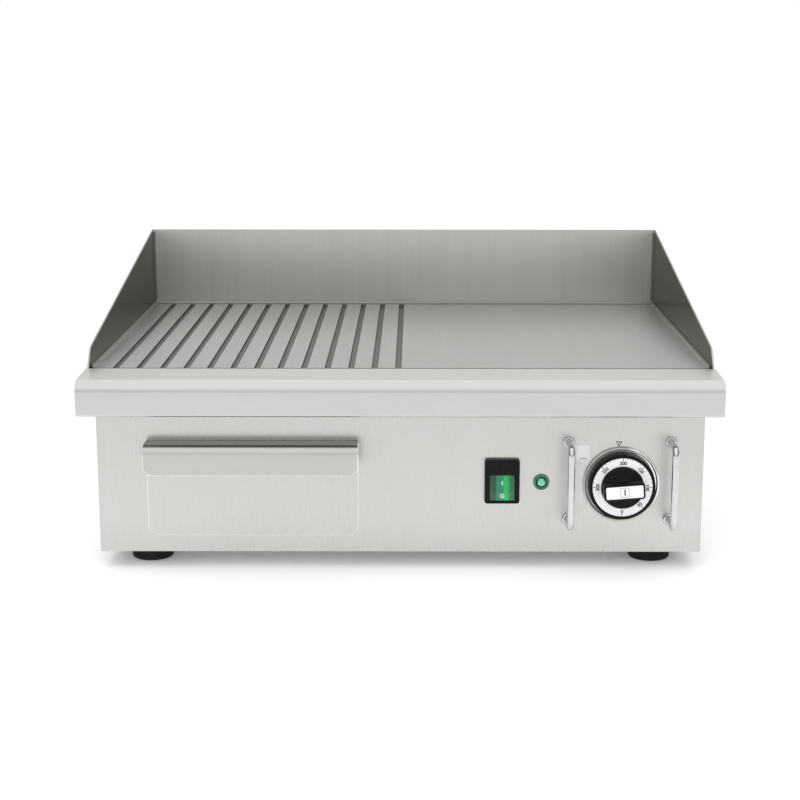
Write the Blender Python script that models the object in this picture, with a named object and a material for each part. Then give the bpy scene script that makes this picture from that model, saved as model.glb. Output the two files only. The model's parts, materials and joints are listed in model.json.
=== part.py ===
"""Countertop electric griddle: a stainless body, an 8 mm plate with ribs on its left half, a drip drawer,
a rocker switch, a pilot lamp and a thermostat knob between two wire guards.

Metres, +Z up, +X to the right seen from the front, the front faces -Y. The origin is on the surface that
the feet stand on, below the middle of the overall box.
"""

from math import acos, atan2, cos, pi, radians, sin, tan

import bmesh
import bpy
from mathutils import Matrix, Vector

# ---- driving dimensions ----
GAP = 0.0003                  # clearance between pieces that touch
SHEET = 0.0012                # stainless sheet of the body and the apron
SPLASH_SHEET = 0.0015         # stainless sheet of the splash guards
FOLD_RADIUS = 0.0014          # of an ordinary fold, on the middle of the sheet

BODY_HALF_W = 0.262
BODY_FRONT = -0.1975          # outer face of the front panel
BODY_REAR = 0.207             # outer face of the rear panel
BODY_BOTTOM = 0.015
BODY_TOP = 0.150
PANEL_RETURN = 0.015          # fold at each end of the front panel
TOP_FLANGE = 0.012            # inward fold along the top of the side and rear panels

TOP_HALF_W = 0.275            # outer half width of the apron and the splash guards
APRON_FRONT = -0.215
APRON_BACK = -0.163           # where the apron turns down into the grease channel
APRON_BOTTOM = 0.139
APRON_TOP = 0.1715
APRON_RADIUS = 0.010
CHANNEL_BOTTOM = 0.1574
SPLASH_REAR = 0.2165
SPLASH_TOP = 0.250

PLATE_TOP = 0.1685
PLATE_THICK = 0.008
PLATE_FRONT = -0.148
PLATE_HALF_W = TOP_HALF_W - SPLASH_SHEET - GAP
WELD_BEAD = 0.0045            # leg of the fillet along the plate's edges
GROOVE_COUNT = 13
GROOVE_FIRST_X = -0.252
GROOVE_PITCH = 0.0208
GROOVE_HALF_W = 0.0026
GROOVE_DEPTH = 0.0026

DRAWER_X = (-0.2190, -0.0360)
DRAWER_Z = (0.0300, 0.1150)
DRAWER_OPENING_MARGIN = 0.0045
DRAWER_HANDLE_REACH = 0.0222
DRAWER_HANDLE_DROP = 0.0260
DRAWER_HANDLE_BEND = 0.0075
TRAY_X = (-0.2115, -0.0435)
TRAY_Z = (0.0380, 0.1060)
TRAY_REAR = 0.110
TRAY_SHEET = 0.0010
RAIL_REAR = 0.128
DRAIN_X = -0.1275
DRAIN_Y = -0.1560
DRAIN_RADIUS = 0.0045

SWITCH_X, SWITCH_Z = 0.0878, 0.0793
SWITCH_FACE = -0.2025
SWITCH_HALF = (0.0151, 0.0195)       # half width and half height of the bezel
SWITCH_BODY_HALF = (0.0130, 0.0182)  # of the body behind it
SWITCH_HOLE_HALF = (0.0134, 0.0186)  # of its hole in the panel
SWITCH_BODY_REAR = -0.1700
ROCKER_Z = 0.0736
ROCKER_AXIS_Y = -0.1995
ROCKER_RADIUS = 0.0113
ROCKER_HALF_W = 0.0107
ROCKER_CORNER = radians(16)
ROCKER_REST = radians(9)      # the upper end is pressed in
ROCKER_FRONT = 0.0036         # middle of the rocker's face in front of its axis

LAMP_X, LAMP_Z = 0.1218, 0.0782
LAMP_RADIUS = 0.0070

KNOB_X, KNOB_Z = 0.1908, 0.0765
KNOB_BACK = -0.2002
KNOB_DIAL = -0.2095           # front face of the skirt
KNOB_FRONT = -0.2253          # front face of the grip
KNOB_RADIUS = 0.0285
KNOB_BACK_RADIUS = 0.0293
KNOB_TILT = radians(4.5)
DIAL_RADII = (0.0186, 0.0257)
SHAFT_FRONT = -0.2170
SHAFT_RADIUS = 0.003
RIM_RADIUS = 0.0330           # of the escutcheon behind the knob

GUARD_X = (0.145, 0.233)
GUARD_Z = (0.0445, 0.1135)    # centre lines of the two legs
GUARD_RADIUS = 0.0030
GUARD_FRONT = -0.2285
GUARD_BEND = 0.0060

FOOT_X = 0.222
FOOT_Y = (-0.161, 0.165)
FOOT_RADIUS = 0.0195

GLAND_X, GLAND_Z = 0.200, 0.050
GLAND_HOLE = 0.0083
EARTH_X = 0.182
SUPPLY_Y = 0.161              # middle of the terminal block and the earth stud

VENT_COUNT = 7                # in each side panel
VENT_FIRST_Y = 0.060
VENT_PITCH = 0.016
VENT_Z = 0.075
VENT_LENGTH = 0.044
VENT_WIDTH = 0.005
REAR_VENT_COUNT = 10
REAR_VENT_PITCH = 0.0175
REAR_VENT_Z = 0.085
BASE_VENT_COUNT = 8
BASE_VENT_PITCH = 0.020
BASE_VENT_LENGTH = 0.090

ELEMENT_MIDDLES = (-0.127, 0.127)
ELEMENT_PITCH = 0.052         # between the runs of one element
ELEMENT_RADIUS = 0.0040
ELEMENT_Z = PLATE_TOP - PLATE_THICK - GAP - ELEMENT_RADIUS
CLAMP_THICK = 0.0022
CLAMP_TOP = ELEMENT_Z - ELEMENT_RADIUS - GAP
CLAMP_Y = (-0.070, 0.130)
STUD_X = (-0.1270, 0.1270)
STUD_RADIUS = 0.003
STUD_LOW = CLAMP_TOP - CLAMP_THICK - 0.0075
NUT_FLATS, NUT_THICK = 0.010, 0.0048
SHIELD_HALF_W = 0.240
SHIELD_Y = (-0.138, 0.188)
SHIELD_BOTTOM = 0.1300
SHIELD_TOP = 0.1575
SHIELD_SHEET = 0.0010
ELEMENT_END_Y = SHIELD_Y[1] - 0.024
ELEMENT_END_HOLE = 0.0060
SENSOR_X, SENSOR_Y = 0.0, -0.020
SENSOR_HOLE = 0.0028
HIGH_LIMIT_X, HIGH_LIMIT_Y = 0.060, 0.060

ROUND = 20                    # sides of a medium round piece


# ---- helpers ----
def material(name, colour, roughness, metallic):
    made = bpy.data.materials.new(name)
    made.use_nodes = True
    shader = made.node_tree.nodes["Principled BSDF"]
    shader.inputs["Base Color"].default_value = (*colour, 1.0)
    shader.inputs["Roughness"].default_value = roughness
    shader.inputs["Metallic"].default_value = metallic
    return made


def add(name, mesh_builder, finish, at=(0.0, 0.0, 0.0)):
    """Makes an object from a bmesh whose origin is put at the given place."""
    mesh = bpy.data.meshes.new(name)
    bmesh.ops.translate(mesh_builder, verts=mesh_builder.verts, vec=-Vector(at))
    bmesh.ops.recalc_face_normals(mesh_builder, faces=mesh_builder.faces)
    mesh_builder.to_mesh(mesh)
    mesh_builder.free()
    mesh.shade_smooth()
    mesh.set_sharp_from_angle(angle=radians(32))
    if finish is not None:
        mesh.materials.append(finish)
    made = bpy.data.objects.new(name, mesh)
    made.location = at
    bpy.context.scene.collection.objects.link(made)
    return made


def helper(mesh_builder, at=(0.0, 0.0, 0.0)):
    """A cutter, or a shape that a Boolean joins to a piece."""
    made = add("helper", mesh_builder, None, at)
    made.hide_render = True
    made.display_type = "WIRE"
    return made


def boolean(target, operation, *others):
    for other in others:
        modifier = target.modifiers.new(operation.title(), "BOOLEAN")
        modifier.operation = operation
        modifier.object = other


def join(target, *others):
    boolean(target, "UNION", *others)


def cut(target, *others):
    boolean(target, "DIFFERENCE", *others)


AXIS_ORDER = {"x": (1, 2, 0), "y": (0, 2, 1), "z": (0, 1, 2)}


def prism(outline, axis, low, high):
    """Extrudes a closed outline along an axis. The outline is in (y, z), (x, z) or (x, y)."""
    first, second, along = AXIS_ORDER[axis]
    made = bmesh.new()
    ends = []
    for place in (low, high):
        ring = []
        for u, v in outline:
            point = [0.0, 0.0, 0.0]
            point[first], point[second], point[along] = u, v, place
            ring.append(made.verts.new(point))
        ends.append(ring)
    made.faces.new(ends[0])
    made.faces.new(ends[1][::-1])
    count = len(outline)
    for i in range(count):
        j = (i + 1) % count
        made.faces.new((ends[0][i], ends[1][i], ends[1][j], ends[0][j]))
    return made


def block(x, y, z):
    return prism(((x[0], y[0]), (x[1], y[0]), (x[1], y[1]), (x[0], y[1])), "z", z[0], z[1])


def arc(centre, radius, start, end, steps):
    """Points on an arc from one angle to another, both ends included."""
    angles = (start + (end - start) * i / steps for i in range(steps + 1))
    return [(centre[0] + radius * cos(a), centre[1] + radius * sin(a)) for a in angles]


def circle(centre, radius, sides):
    return arc(centre, radius, 0, 2 * pi * (sides - 1) / sides, sides - 1)


def rounded_rectangle(x, z, radius, steps=4):
    corners = (
        (x[1] - radius, z[1] - radius, 0.0),
        (x[0] + radius, z[1] - radius, pi / 2),
        (x[0] + radius, z[0] + radius, pi),
        (x[1] - radius, z[0] + radius, 3 * pi / 2),
    )
    outline = []
    for u, v, start in corners:
        outline += arc((u, v), radius, start, start + pi / 2, steps)
    return outline


def slot_outline(centre, length, width, upright, steps=3):
    half = (length - width) / 2
    radius = width / 2
    turn = pi / 2 if upright else 0.0
    axis = Vector((cos(turn), sin(turn)))
    far = Vector(centre) + axis * half
    near = Vector(centre) - axis * half
    return (arc(far, radius, turn - pi / 2, turn + pi / 2, steps)
            + arc(near, radius, turn + pi / 2, turn + 3 * pi / 2, steps))


def bent_sheet(path, thickness, radii, steps=4):
    """The closed outline of a folded sheet whose middle line follows the path, with a radius at each fold."""
    points = [Vector(p) for p in path]
    line = [(points[0], (points[1] - points[0]).normalized())]
    for before, corner, after, radius in zip(points, points[1:], points[2:], radii):
        towards = (corner - before).normalized()
        away = (after - corner).normalized()
        turn = atan2(towards.x * away.y - towards.y * away.x, towards.dot(away))
        back = radius * tan(abs(turn) / 2)
        side = Vector((-towards.y, towards.x)) * (1 if turn > 0 else -1)
        centre = corner - towards * back + side * radius
        for i in range(steps + 1):
            swing = Matrix.Rotation(turn * i / steps, 2)
            line.append((centre - (swing @ side) * radius, swing @ towards))
    line.append((points[-1], (points[-1] - points[-2]).normalized()))
    left = [p + Vector((-d.y, d.x)) * thickness / 2 for p, d in line]
    right = [p - Vector((-d.y, d.x)) * thickness / 2 for p, d in line]
    return [tuple(p) for p in left + right[::-1]]


def turned(profile, sides, direction="z"):
    """Turns a closed (radius, height) profile about an axis. Points at radius 0 become poles."""
    made = bmesh.new()
    rings = []
    for radius, height in profile:
        if radius == 0:
            rings.append([made.verts.new((0.0, 0.0, height))])
            continue
        angles = [2 * pi * i / sides for i in range(sides)]
        rings.append([made.verts.new((radius * cos(a), radius * sin(a), height)) for a in angles])
    pairs = list(zip(rings, rings[1:]))
    if profile[0][0] and profile[-1][0]:
        pairs.append((rings[-1], rings[0]))
    for one, other in pairs:
        for i in range(sides):
            j = (i + 1) % sides
            corners = [one[i % len(one)], one[j % len(one)], other[j % len(other)], other[i % len(other)]]
            unique = list(dict.fromkeys(corners))
            if len(unique) > 2:
                made.faces.new(unique)
    if direction == "y":
        bmesh.ops.rotate(made, verts=made.verts, matrix=Matrix.Rotation(pi / 2, 3, "X"))
    return made


def moved(mesh_builder, x=0.0, y=0.0, z=0.0):
    bmesh.ops.translate(mesh_builder, verts=mesh_builder.verts, vec=(x, y, z))
    return mesh_builder


def rod(radius, low, high, sides=ROUND, direction="z"):
    return turned(((0, low), (radius, low), (radius, high), (0, high)), sides, direction)


def fillet_path(path, bends, steps=4):
    """A route in space with each inner corner rounded by an arc."""
    points = [Vector(p) for p in path]
    route = [points[0]]
    for before, corner, after, radius in zip(points, points[1:], points[2:], bends):
        towards = (corner - before).normalized()
        away = (after - corner).normalized()
        turn = acos(max(-1.0, min(1.0, towards.dot(away))))
        back = radius * tan(turn / 2)
        axis = towards.cross(away).normalized()
        side = axis.cross(towards)
        centre = corner - towards * back + side * radius
        for i in range(steps + 1):
            route.append(centre - (Matrix.Rotation(turn * i / steps, 3, axis) @ side) * radius)
    route.append(points[-1])
    return route


def sweep(route, radii, sides=8):
    """A closed round tube along a route, with its own radius at each point."""
    points = [Vector(p) for p in route]
    heading = (points[1] - points[0]).normalized()
    across = heading.orthogonal().normalized()
    made = bmesh.new()
    rings = []
    for i, point in enumerate(points):
        ahead = points[min(i + 1, len(points) - 1)] - points[max(i - 1, 0)]
        across = (across - ahead.normalized() * across.dot(ahead.normalized())).normalized()
        other = ahead.normalized().cross(across)
        angles = [2 * pi * k / sides for k in range(sides)]
        rings.append([made.verts.new(point + (across * cos(a) + other * sin(a)) * radii[i]) for a in angles])
    for one, other_ring in zip(rings, rings[1:]):
        for k in range(sides):
            j = (k + 1) % sides
            made.faces.new((one[k], one[j], other_ring[j], other_ring[k]))
    made.faces.new(rings[0])
    made.faces.new(rings[-1][::-1])
    return made


def tube(route, radius, sides=8):
    return sweep(route, [radius] * len(route), sides)


# ---- body shell ----
def make_front_panel(steel):
    side = BODY_HALF_W - SHEET / 2
    face = BODY_FRONT + SHEET / 2
    back = BODY_FRONT + PANEL_RETURN
    path = ((-side, back), (-side, face), (side, face), (side, back))
    folded = bent_sheet(path, SHEET, (FOLD_RADIUS, FOLD_RADIUS), 3)
    panel = add("front_panel", prism(folded, "z", BODY_BOTTOM, BODY_TOP), steel)
    through = (BODY_FRONT - 0.01, BODY_FRONT + 0.01)
    switch_x = (SWITCH_X - SWITCH_HOLE_HALF[0], SWITCH_X + SWITCH_HOLE_HALF[0])
    switch_z = (SWITCH_Z - SWITCH_HOLE_HALF[1], SWITCH_Z + SWITCH_HOLE_HALF[1])
    margin = DRAWER_OPENING_MARGIN
    openings = [
        rounded_rectangle((DRAWER_X[0] + margin, DRAWER_X[1] - margin),
                          (DRAWER_Z[0] + margin, DRAWER_Z[1] - margin), 0.003, 2),
        rounded_rectangle(switch_x, switch_z, 0.0004, 1),
        circle((LAMP_X, LAMP_Z), 0.0048, 16),
        circle((KNOB_X, KNOB_Z), 0.0065, 16),
    ]
    for x in GUARD_X:
        for z in GUARD_Z:
            openings.append(circle((x, z), GUARD_RADIUS + GAP, 12))
    cut(panel, *[helper(prism(outline, "y", *through)) for outline in openings])


def make_side_panel(name, side, steel):
    wall = BODY_HALF_W - SHEET / 2
    high = BODY_TOP - SHEET / 2
    path = ((side * wall, BODY_BOTTOM), (side * wall, high), (side * (BODY_HALF_W - TOP_FLANGE), high))
    front = BODY_FRONT + PANEL_RETURN + GAP
    rear = BODY_REAR - SHEET - GAP
    panel = add(name, prism(bent_sheet(path, SHEET, (FOLD_RADIUS,), 3), "y", front, rear), steel)
    reach = sorted((side * (BODY_HALF_W + 0.005), side * (BODY_HALF_W - 0.005)))
    for i in range(VENT_COUNT):
        outline = slot_outline((VENT_FIRST_Y + i * VENT_PITCH, VENT_Z), VENT_LENGTH, VENT_WIDTH, True)
        cut(panel, helper(prism(outline, "x", *reach)))


def make_rear_panel(steel):
    wall = BODY_REAR - SHEET / 2
    high = BODY_TOP - SHEET / 2
    path = ((wall - TOP_FLANGE, high), (wall, high), (wall, BODY_BOTTOM))
    folded = bent_sheet(path, SHEET, (FOLD_RADIUS,), 3)
    panel = add("rear_panel", prism(folded, "x", -BODY_HALF_W, BODY_HALF_W), steel)
    notch_y = (BODY_REAR - 0.03, BODY_REAR - SHEET)
    for side in (-1, 1):
        notch_x = sorted((side * (BODY_HALF_W - TOP_FLANGE - SHEET), side * (BODY_HALF_W + 0.01)))
        cut(panel, helper(block(notch_x, notch_y, (BODY_TOP - 0.05, BODY_TOP + 0.01))))
    through = (BODY_REAR - 0.008, BODY_REAR + 0.008)
    cut(panel, helper(prism(circle((GLAND_X, GLAND_Z), GLAND_HOLE, 20), "y", *through)))
    for i in range(REAR_VENT_COUNT):
        x = (i - REAR_VENT_COUNT / 2) * REAR_VENT_PITCH
        outline = slot_outline((x, REAR_VENT_Z), VENT_LENGTH, VENT_WIDTH, True)
        cut(panel, helper(prism(outline, "y", *through)))


def make_base_plate(steel):
    """A tray with upturned edges inside the body walls, vented below the drawer and the heat shield."""
    half = BODY_HALF_W - SHEET - GAP
    front = BODY_FRONT + SHEET + GAP
    rear = BODY_REAR - SHEET - GAP
    floor = BODY_BOTTOM + GAP
    plate = add("base_plate", block((-half, half), (front, rear), (floor, floor + 0.012)), steel)
    inner = (half - SHEET, front + SHEET, rear - SHEET)
    cut(plate, helper(block((-inner[0], inner[0]), (inner[1], inner[2]), (floor + SHEET, floor + 0.03))))
    through = (floor - 0.005, floor + 0.005)
    for x in (-FOOT_X, FOOT_X):
        for y in FOOT_Y:
            cut(plate, helper(prism(circle((x, y), 0.0028, 12), "z", *through)))
    for i in range(BASE_VENT_COUNT):
        outline = slot_outline(((i + 1) * BASE_VENT_PITCH, 0.030), BASE_VENT_LENGTH, VENT_WIDTH, True)
        cut(plate, helper(prism(outline, "z", *through)))


# ---- top ----
def make_front_apron(steel):
    """The rounded front edge and the grease channel behind it, folded from one sheet, with closed ends."""
    half = SHEET / 2
    wall = APRON_FRONT + half
    top = APRON_TOP - half
    front_edge = APRON_BACK - half
    floor = CHANNEL_BOTTOM + half
    channel_back = PLATE_FRONT - GAP - half
    path = (
        (BODY_FRONT - 0.0025, APRON_BOTTOM + half),
        (wall, APRON_BOTTOM + half),
        (wall, top - 0.002),
        (front_edge, top),
        (front_edge, floor),
        (channel_back, floor),
        (channel_back, PLATE_TOP - 0.0012),
    )
    radii = (0.0018, APRON_RADIUS - half, 0.0018, 0.0022, 0.0022)
    apron = add("front_apron", prism(bent_sheet(path, SHEET, radii, 5), "x", -TOP_HALF_W, TOP_HALF_W), steel)
    inside = APRON_RADIUS - half
    nose = arc((wall + inside, top - 0.002 - inside), inside, pi, pi / 2, 5)
    end_outline = [(front_edge, APRON_BOTTOM + half), (wall, APRON_BOTTOM + half)] + nose + [(front_edge, top)]
    for side in (-1, 1):
        span = sorted((side * (TOP_HALF_W - SPLASH_SHEET), side * (TOP_HALF_W - GAP)))
        join(apron, helper(prism(end_outline, "x", *span)))
    for side in (-1, 1):
        span = sorted((side * PLATE_HALF_W, side * (TOP_HALF_W + 0.01)))
        cut(apron, helper(block(span, (APRON_BACK, PLATE_FRONT + 0.01), (0.13, 0.19))))
    hole = circle((DRAIN_X, DRAIN_Y), DRAIN_RADIUS, 16)
    cut(apron, helper(prism(hole, "z", CHANNEL_BOTTOM - 0.007, CHANNEL_BOTTOM + 0.007)))


def splash_outline():
    """Side view of a side guard: a skirt below, and a top edge that slopes up to the rear."""
    front = APRON_BACK + GAP
    slope = 0.176
    corner = Vector((-0.1465, SPLASH_TOP - slope * (SPLASH_REAR + 0.1465)))
    rear = SPLASH_REAR - SPLASH_SHEET - GAP
    foot = Vector((front + 0.003, APRON_TOP - 0.001))
    towards = (corner - foot).normalized()
    away = Vector((1.0, slope)).normalized()
    turn = towards.angle(away)
    radius = 0.012
    centre = corner - towards * radius * tan(turn / 2) + Vector((towards.y, -towards.x)) * radius
    start = atan2(towards.x, -towards.y)
    rounding = arc(centre, radius, start, start - turn, 5)
    return ([(front, APRON_BOTTOM), (front, APRON_TOP - 0.003), tuple(foot)] + rounding
            + [(rear, SPLASH_TOP - slope * (SPLASH_REAR - rear)), (rear, APRON_BOTTOM)])


def make_splash_side(name, side, steel):
    outer = side * TOP_HALF_W
    wall = add(name, prism(splash_outline(), "x", *sorted((outer, outer - side * SPLASH_SHEET))), steel)
    fold = sorted((outer - side * 0.0005, side * (BODY_HALF_W + 0.0025)))
    along = (APRON_BACK + 0.002, BODY_REAR + 0.002 - GAP)
    join(wall, helper(block(fold, along, (APRON_BOTTOM + 0.0002, APRON_BOTTOM + 0.0014))))


def make_splash_rear(steel):
    """The rear guard, which closes the ends of the side guards and is folded in below."""
    wall = SPLASH_REAR - SPLASH_SHEET / 2
    low = APRON_BOTTOM + SPLASH_SHEET / 2
    path = ((BODY_REAR + 0.002, low), (wall, low), (wall, SPLASH_TOP))
    folded = bent_sheet(path, SPLASH_SHEET, (0.0016,), 3)
    guard = add("splash_rear", prism(folded, "x", -TOP_HALF_W, TOP_HALF_W), steel)
    for side in (-1, 1):
        notch = sorted((side * PLATE_HALF_W, side * (TOP_HALF_W + 0.01)))
        cut(guard, helper(block(notch, (BODY_REAR - 0.01, SPLASH_REAR - SPLASH_SHEET), (0.130, 0.150))))


def groove(centre):
    """Across one groove from left to right, with rounded lower corners."""
    half, low = GROOVE_HALF_W, PLATE_TOP - GROOVE_DEPTH
    soft = 0.0011
    return ([(centre - half, PLATE_TOP)]
            + arc((centre - half + soft, low + soft), soft, pi, 3 * pi / 2, 2)
            + arc((centre + half - soft, low + soft), soft, -pi / 2, 0, 2)
            + [(centre + half, PLATE_TOP)])


def make_griddle_plate(steel):
    low = PLATE_TOP - PLATE_THICK
    edge = PLATE_HALF_W
    leg = WELD_BEAD
    left_bead = arc((-edge + leg, PLATE_TOP + leg), leg, pi, 3 * pi / 2, 3)
    right_bead = arc((edge - leg, PLATE_TOP + leg), leg, -pi / 2, 0, 3)
    outline = [(edge, low), (-edge, low)] + left_bead
    for i in range(GROOVE_COUNT):
        outline += groove(GROOVE_FIRST_X + i * GROOVE_PITCH)
    outline += right_bead
    rear = SPLASH_REAR - SPLASH_SHEET - GAP
    plate = add("griddle_plate", prism(outline, "y", PLATE_FRONT, rear), steel)
    bead = ([(rear - 0.0002, PLATE_TOP - 0.003), (rear - 0.0002, PLATE_TOP + leg)]
            + arc((rear - leg, PLATE_TOP + leg), leg - 0.0002, 0, -pi / 2, 3)
            + [(rear - leg, PLATE_TOP - 0.003)])
    join(plate, helper(prism(bead, "x", -edge + 0.0002, edge - 0.0002)))
    for x in STUD_X:
        for y in CLAMP_Y:
            join(plate, helper(moved(rod(STUD_RADIUS, STUD_LOW, low + 0.003, 10), x, y)))


def make_drain_spout(steel):
    """Tube that carries grease from the channel down into the drawer, with a collar below the channel."""
    top = CHANNEL_BOTTOM - GAP
    profile = (
        (DRAIN_RADIUS, 0.1120), (DRAIN_RADIUS + 0.0012, 0.1120), (DRAIN_RADIUS + 0.0012, top - 0.0015),
        (0.0068, top - 0.0012), (0.0068, top), (DRAIN_RADIUS, top),
    )
    add("drain_spout", moved(turned(profile, 16), DRAIN_X, DRAIN_Y), steel)


# ---- heating ----
def make_heating_element(name, middle, sheath):
    """A four-run tubular element whose cold ends bend down through the heat shield at the rear."""
    front, rear = SHIELD_Y[0] + 0.022, ELEMENT_END_Y
    runs = [middle + (i - 1.5) * ELEMENT_PITCH for i in range(4)]
    tail = 0.1150
    z = ELEMENT_Z
    path = [
        (runs[0], rear, tail), (runs[0], rear, z), (runs[0], front, z), (runs[1], front, z),
        (runs[1], rear - 0.02, z), (runs[2], rear - 0.02, z), (runs[2], front, z), (runs[3], front, z),
        (runs[3], rear, z), (runs[3], rear, tail),
    ]
    bends = [0.012] + [0.018] * 6 + [0.012]
    add(name, tube(fillet_path(path, bends, 4), ELEMENT_RADIUS, 8), sheath)


def make_clamp(name, y, steel):
    bar = add(name, block((-0.232, 0.232), (y - 0.010, y + 0.010), (CLAMP_TOP - CLAMP_THICK, CLAMP_TOP)), steel)
    through = (CLAMP_TOP - 0.01, CLAMP_TOP + 0.005)
    for x in STUD_X:
        cut(bar, helper(prism(circle((x, y), STUD_RADIUS + GAP, 12), "z", *through)))


def make_clamp_nuts(zinc):
    high = CLAMP_TOP - CLAMP_THICK - GAP
    low = high - NUT_THICK
    for row, y in zip(("front", "rear"), CLAMP_Y):
        for side, x in zip(("left", "right"), STUD_X):
            hexagon = circle((x, y), NUT_FLATS / 2 / cos(pi / 6), 6)
            nut = add(f"clamp_nut_{row}_{side}", prism(hexagon, "z", low, high), zinc)
            cut(nut, helper(prism(circle((x, y), STUD_RADIUS + GAP, 12), "z", low - 0.01, high + 0.01)))


def shield_holes():
    """Where the element ends and the sensor's tube pass down through the shield and the wool."""
    holes = [(SENSOR_X, SENSOR_Y, SENSOR_HOLE)]
    for middle in ELEMENT_MIDDLES:
        for side in (-1.5, 1.5):
            holes.append((middle + side * ELEMENT_PITCH, ELEMENT_END_Y, ELEMENT_END_HOLE))
    return holes


def make_heat_shield(steel):
    """An open pan below the insulation, with holes for the element ends and the sensor tube."""
    y = SHIELD_Y
    wall = SHIELD_SHEET
    shield = add("heat_shield", block((-SHIELD_HALF_W, SHIELD_HALF_W), y, (SHIELD_BOTTOM, SHIELD_TOP)), steel)
    inner_x = (-SHIELD_HALF_W + wall, SHIELD_HALF_W - wall)
    cut(shield, helper(block(inner_x, (y[0] + wall, y[1] - wall), (SHIELD_BOTTOM + wall, SHIELD_TOP + 0.01))))
    for x, rear, radius in shield_holes():
        outline = circle((x, rear), radius, 12)
        cut(shield, helper(prism(outline, "z", SHIELD_BOTTOM - 0.005, SHIELD_BOTTOM + 0.005)))


def make_insulation(mineral_wool):
    inset = SHIELD_SHEET + 0.0005
    x = (-SHIELD_HALF_W + inset, SHIELD_HALF_W - inset)
    y = (SHIELD_Y[0] + inset, SHIELD_Y[1] - inset)
    z = (SHIELD_BOTTOM + SHIELD_SHEET + GAP, STUD_LOW - 0.0012)
    wool = add("insulation_mat", block(x, y, z), mineral_wool)
    for hole_x, hole_y, radius in shield_holes():
        outline = circle((hole_x, hole_y), radius, 12)
        cut(wool, helper(prism(outline, "z", SHIELD_BOTTOM - 0.005, SHIELD_TOP)))


# ---- drawer ----
def corner_cutter(x, z, radius, side, y):
    """Rounds the lower corner of a plate that ends at x, on the side given by the sign."""
    over = 0.004
    centre = (x - side * radius, z + radius)
    if side > 0:
        curve = arc(centre, radius, 0, -pi / 2, 5)
    else:
        curve = arc(centre, radius, pi, 3 * pi / 2, 5)
    outline = curve + [(centre[0], z - over), (x + side * over, z - over), (x + side * over, centre[1])]
    return helper(prism(outline, "y", *y))


def make_drawer_front(steel):
    """The plate that closes the opening, with its top edge rolled forward and down as a finger pull."""
    half = SHEET / 2
    face = BODY_FRONT - GAP - half
    reach = BODY_FRONT - GAP - DRAWER_HANDLE_REACH
    top = DRAWER_Z[1] - half
    path = ((face, DRAWER_Z[0]), (face, top), (reach, top), (reach, DRAWER_Z[1] - DRAWER_HANDLE_DROP))
    folded = bent_sheet(path, SHEET, (FOLD_RADIUS, DRAWER_HANDLE_BEND), 6)
    front = add("drawer_front", prism(folded, "x", *DRAWER_X), steel)
    plate_span = (face - 0.003, face + 0.005)
    pull_span = (reach - 0.005, reach + 0.003)
    for x, side in ((DRAWER_X[0], -1), (DRAWER_X[1], 1)):
        cut(front, corner_cutter(x, DRAWER_Z[0], 0.010, side, plate_span))
        cut(front, corner_cutter(x, DRAWER_Z[1] - DRAWER_HANDLE_DROP, 0.0085, side, pull_span))


def make_drawer_tray(steel):
    x, z = TRAY_X, TRAY_Z
    wall = TRAY_SHEET
    tray = add("drawer_tray", block(x, (BODY_FRONT, TRAY_REAR), z), steel)
    inner_y = (BODY_FRONT + wall, TRAY_REAR - wall)
    cut(tray, helper(block((x[0] + wall, x[1] - wall), inner_y, (z[0] + wall, z[1] + 0.01))))


def make_drawer_rail(name, side, steel):
    """An angle that the tray slides on, fixed behind the front panel and to the rail support."""
    edge = TRAY_X[0] if side < 0 else TRAY_X[1]
    wall = edge + side * 0.0030
    ledge = TRAY_Z[0] - GAP - SHEET / 2
    path = ((wall, ledge + 0.016), (wall, ledge), (wall - side * 0.0120, ledge))
    front = BODY_FRONT + SHEET + GAP
    add(name, prism(bent_sheet(path, SHEET, (FOLD_RADIUS,), 3), "y", front, RAIL_REAR), steel)


def make_rail_support(steel):
    """A folded strip on the base plate that carries the rear ends of both rails and stops the tray."""
    low = BODY_BOTTOM + GAP + SHEET + GAP
    half = SHEET / 2
    flange = 0.008
    wall = RAIL_REAR - flange
    high = TRAY_Z[0] - GAP - SHEET - GAP - half
    path = ((wall - flange, low + half), (wall, low + half), (wall, high), (RAIL_REAR, high))
    folded = bent_sheet(path, SHEET, (FOLD_RADIUS, FOLD_RADIUS), 3)
    add("rail_support", prism(folded, "x", TRAY_X[0] - 0.003, TRAY_X[1] + 0.003), steel)


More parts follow.
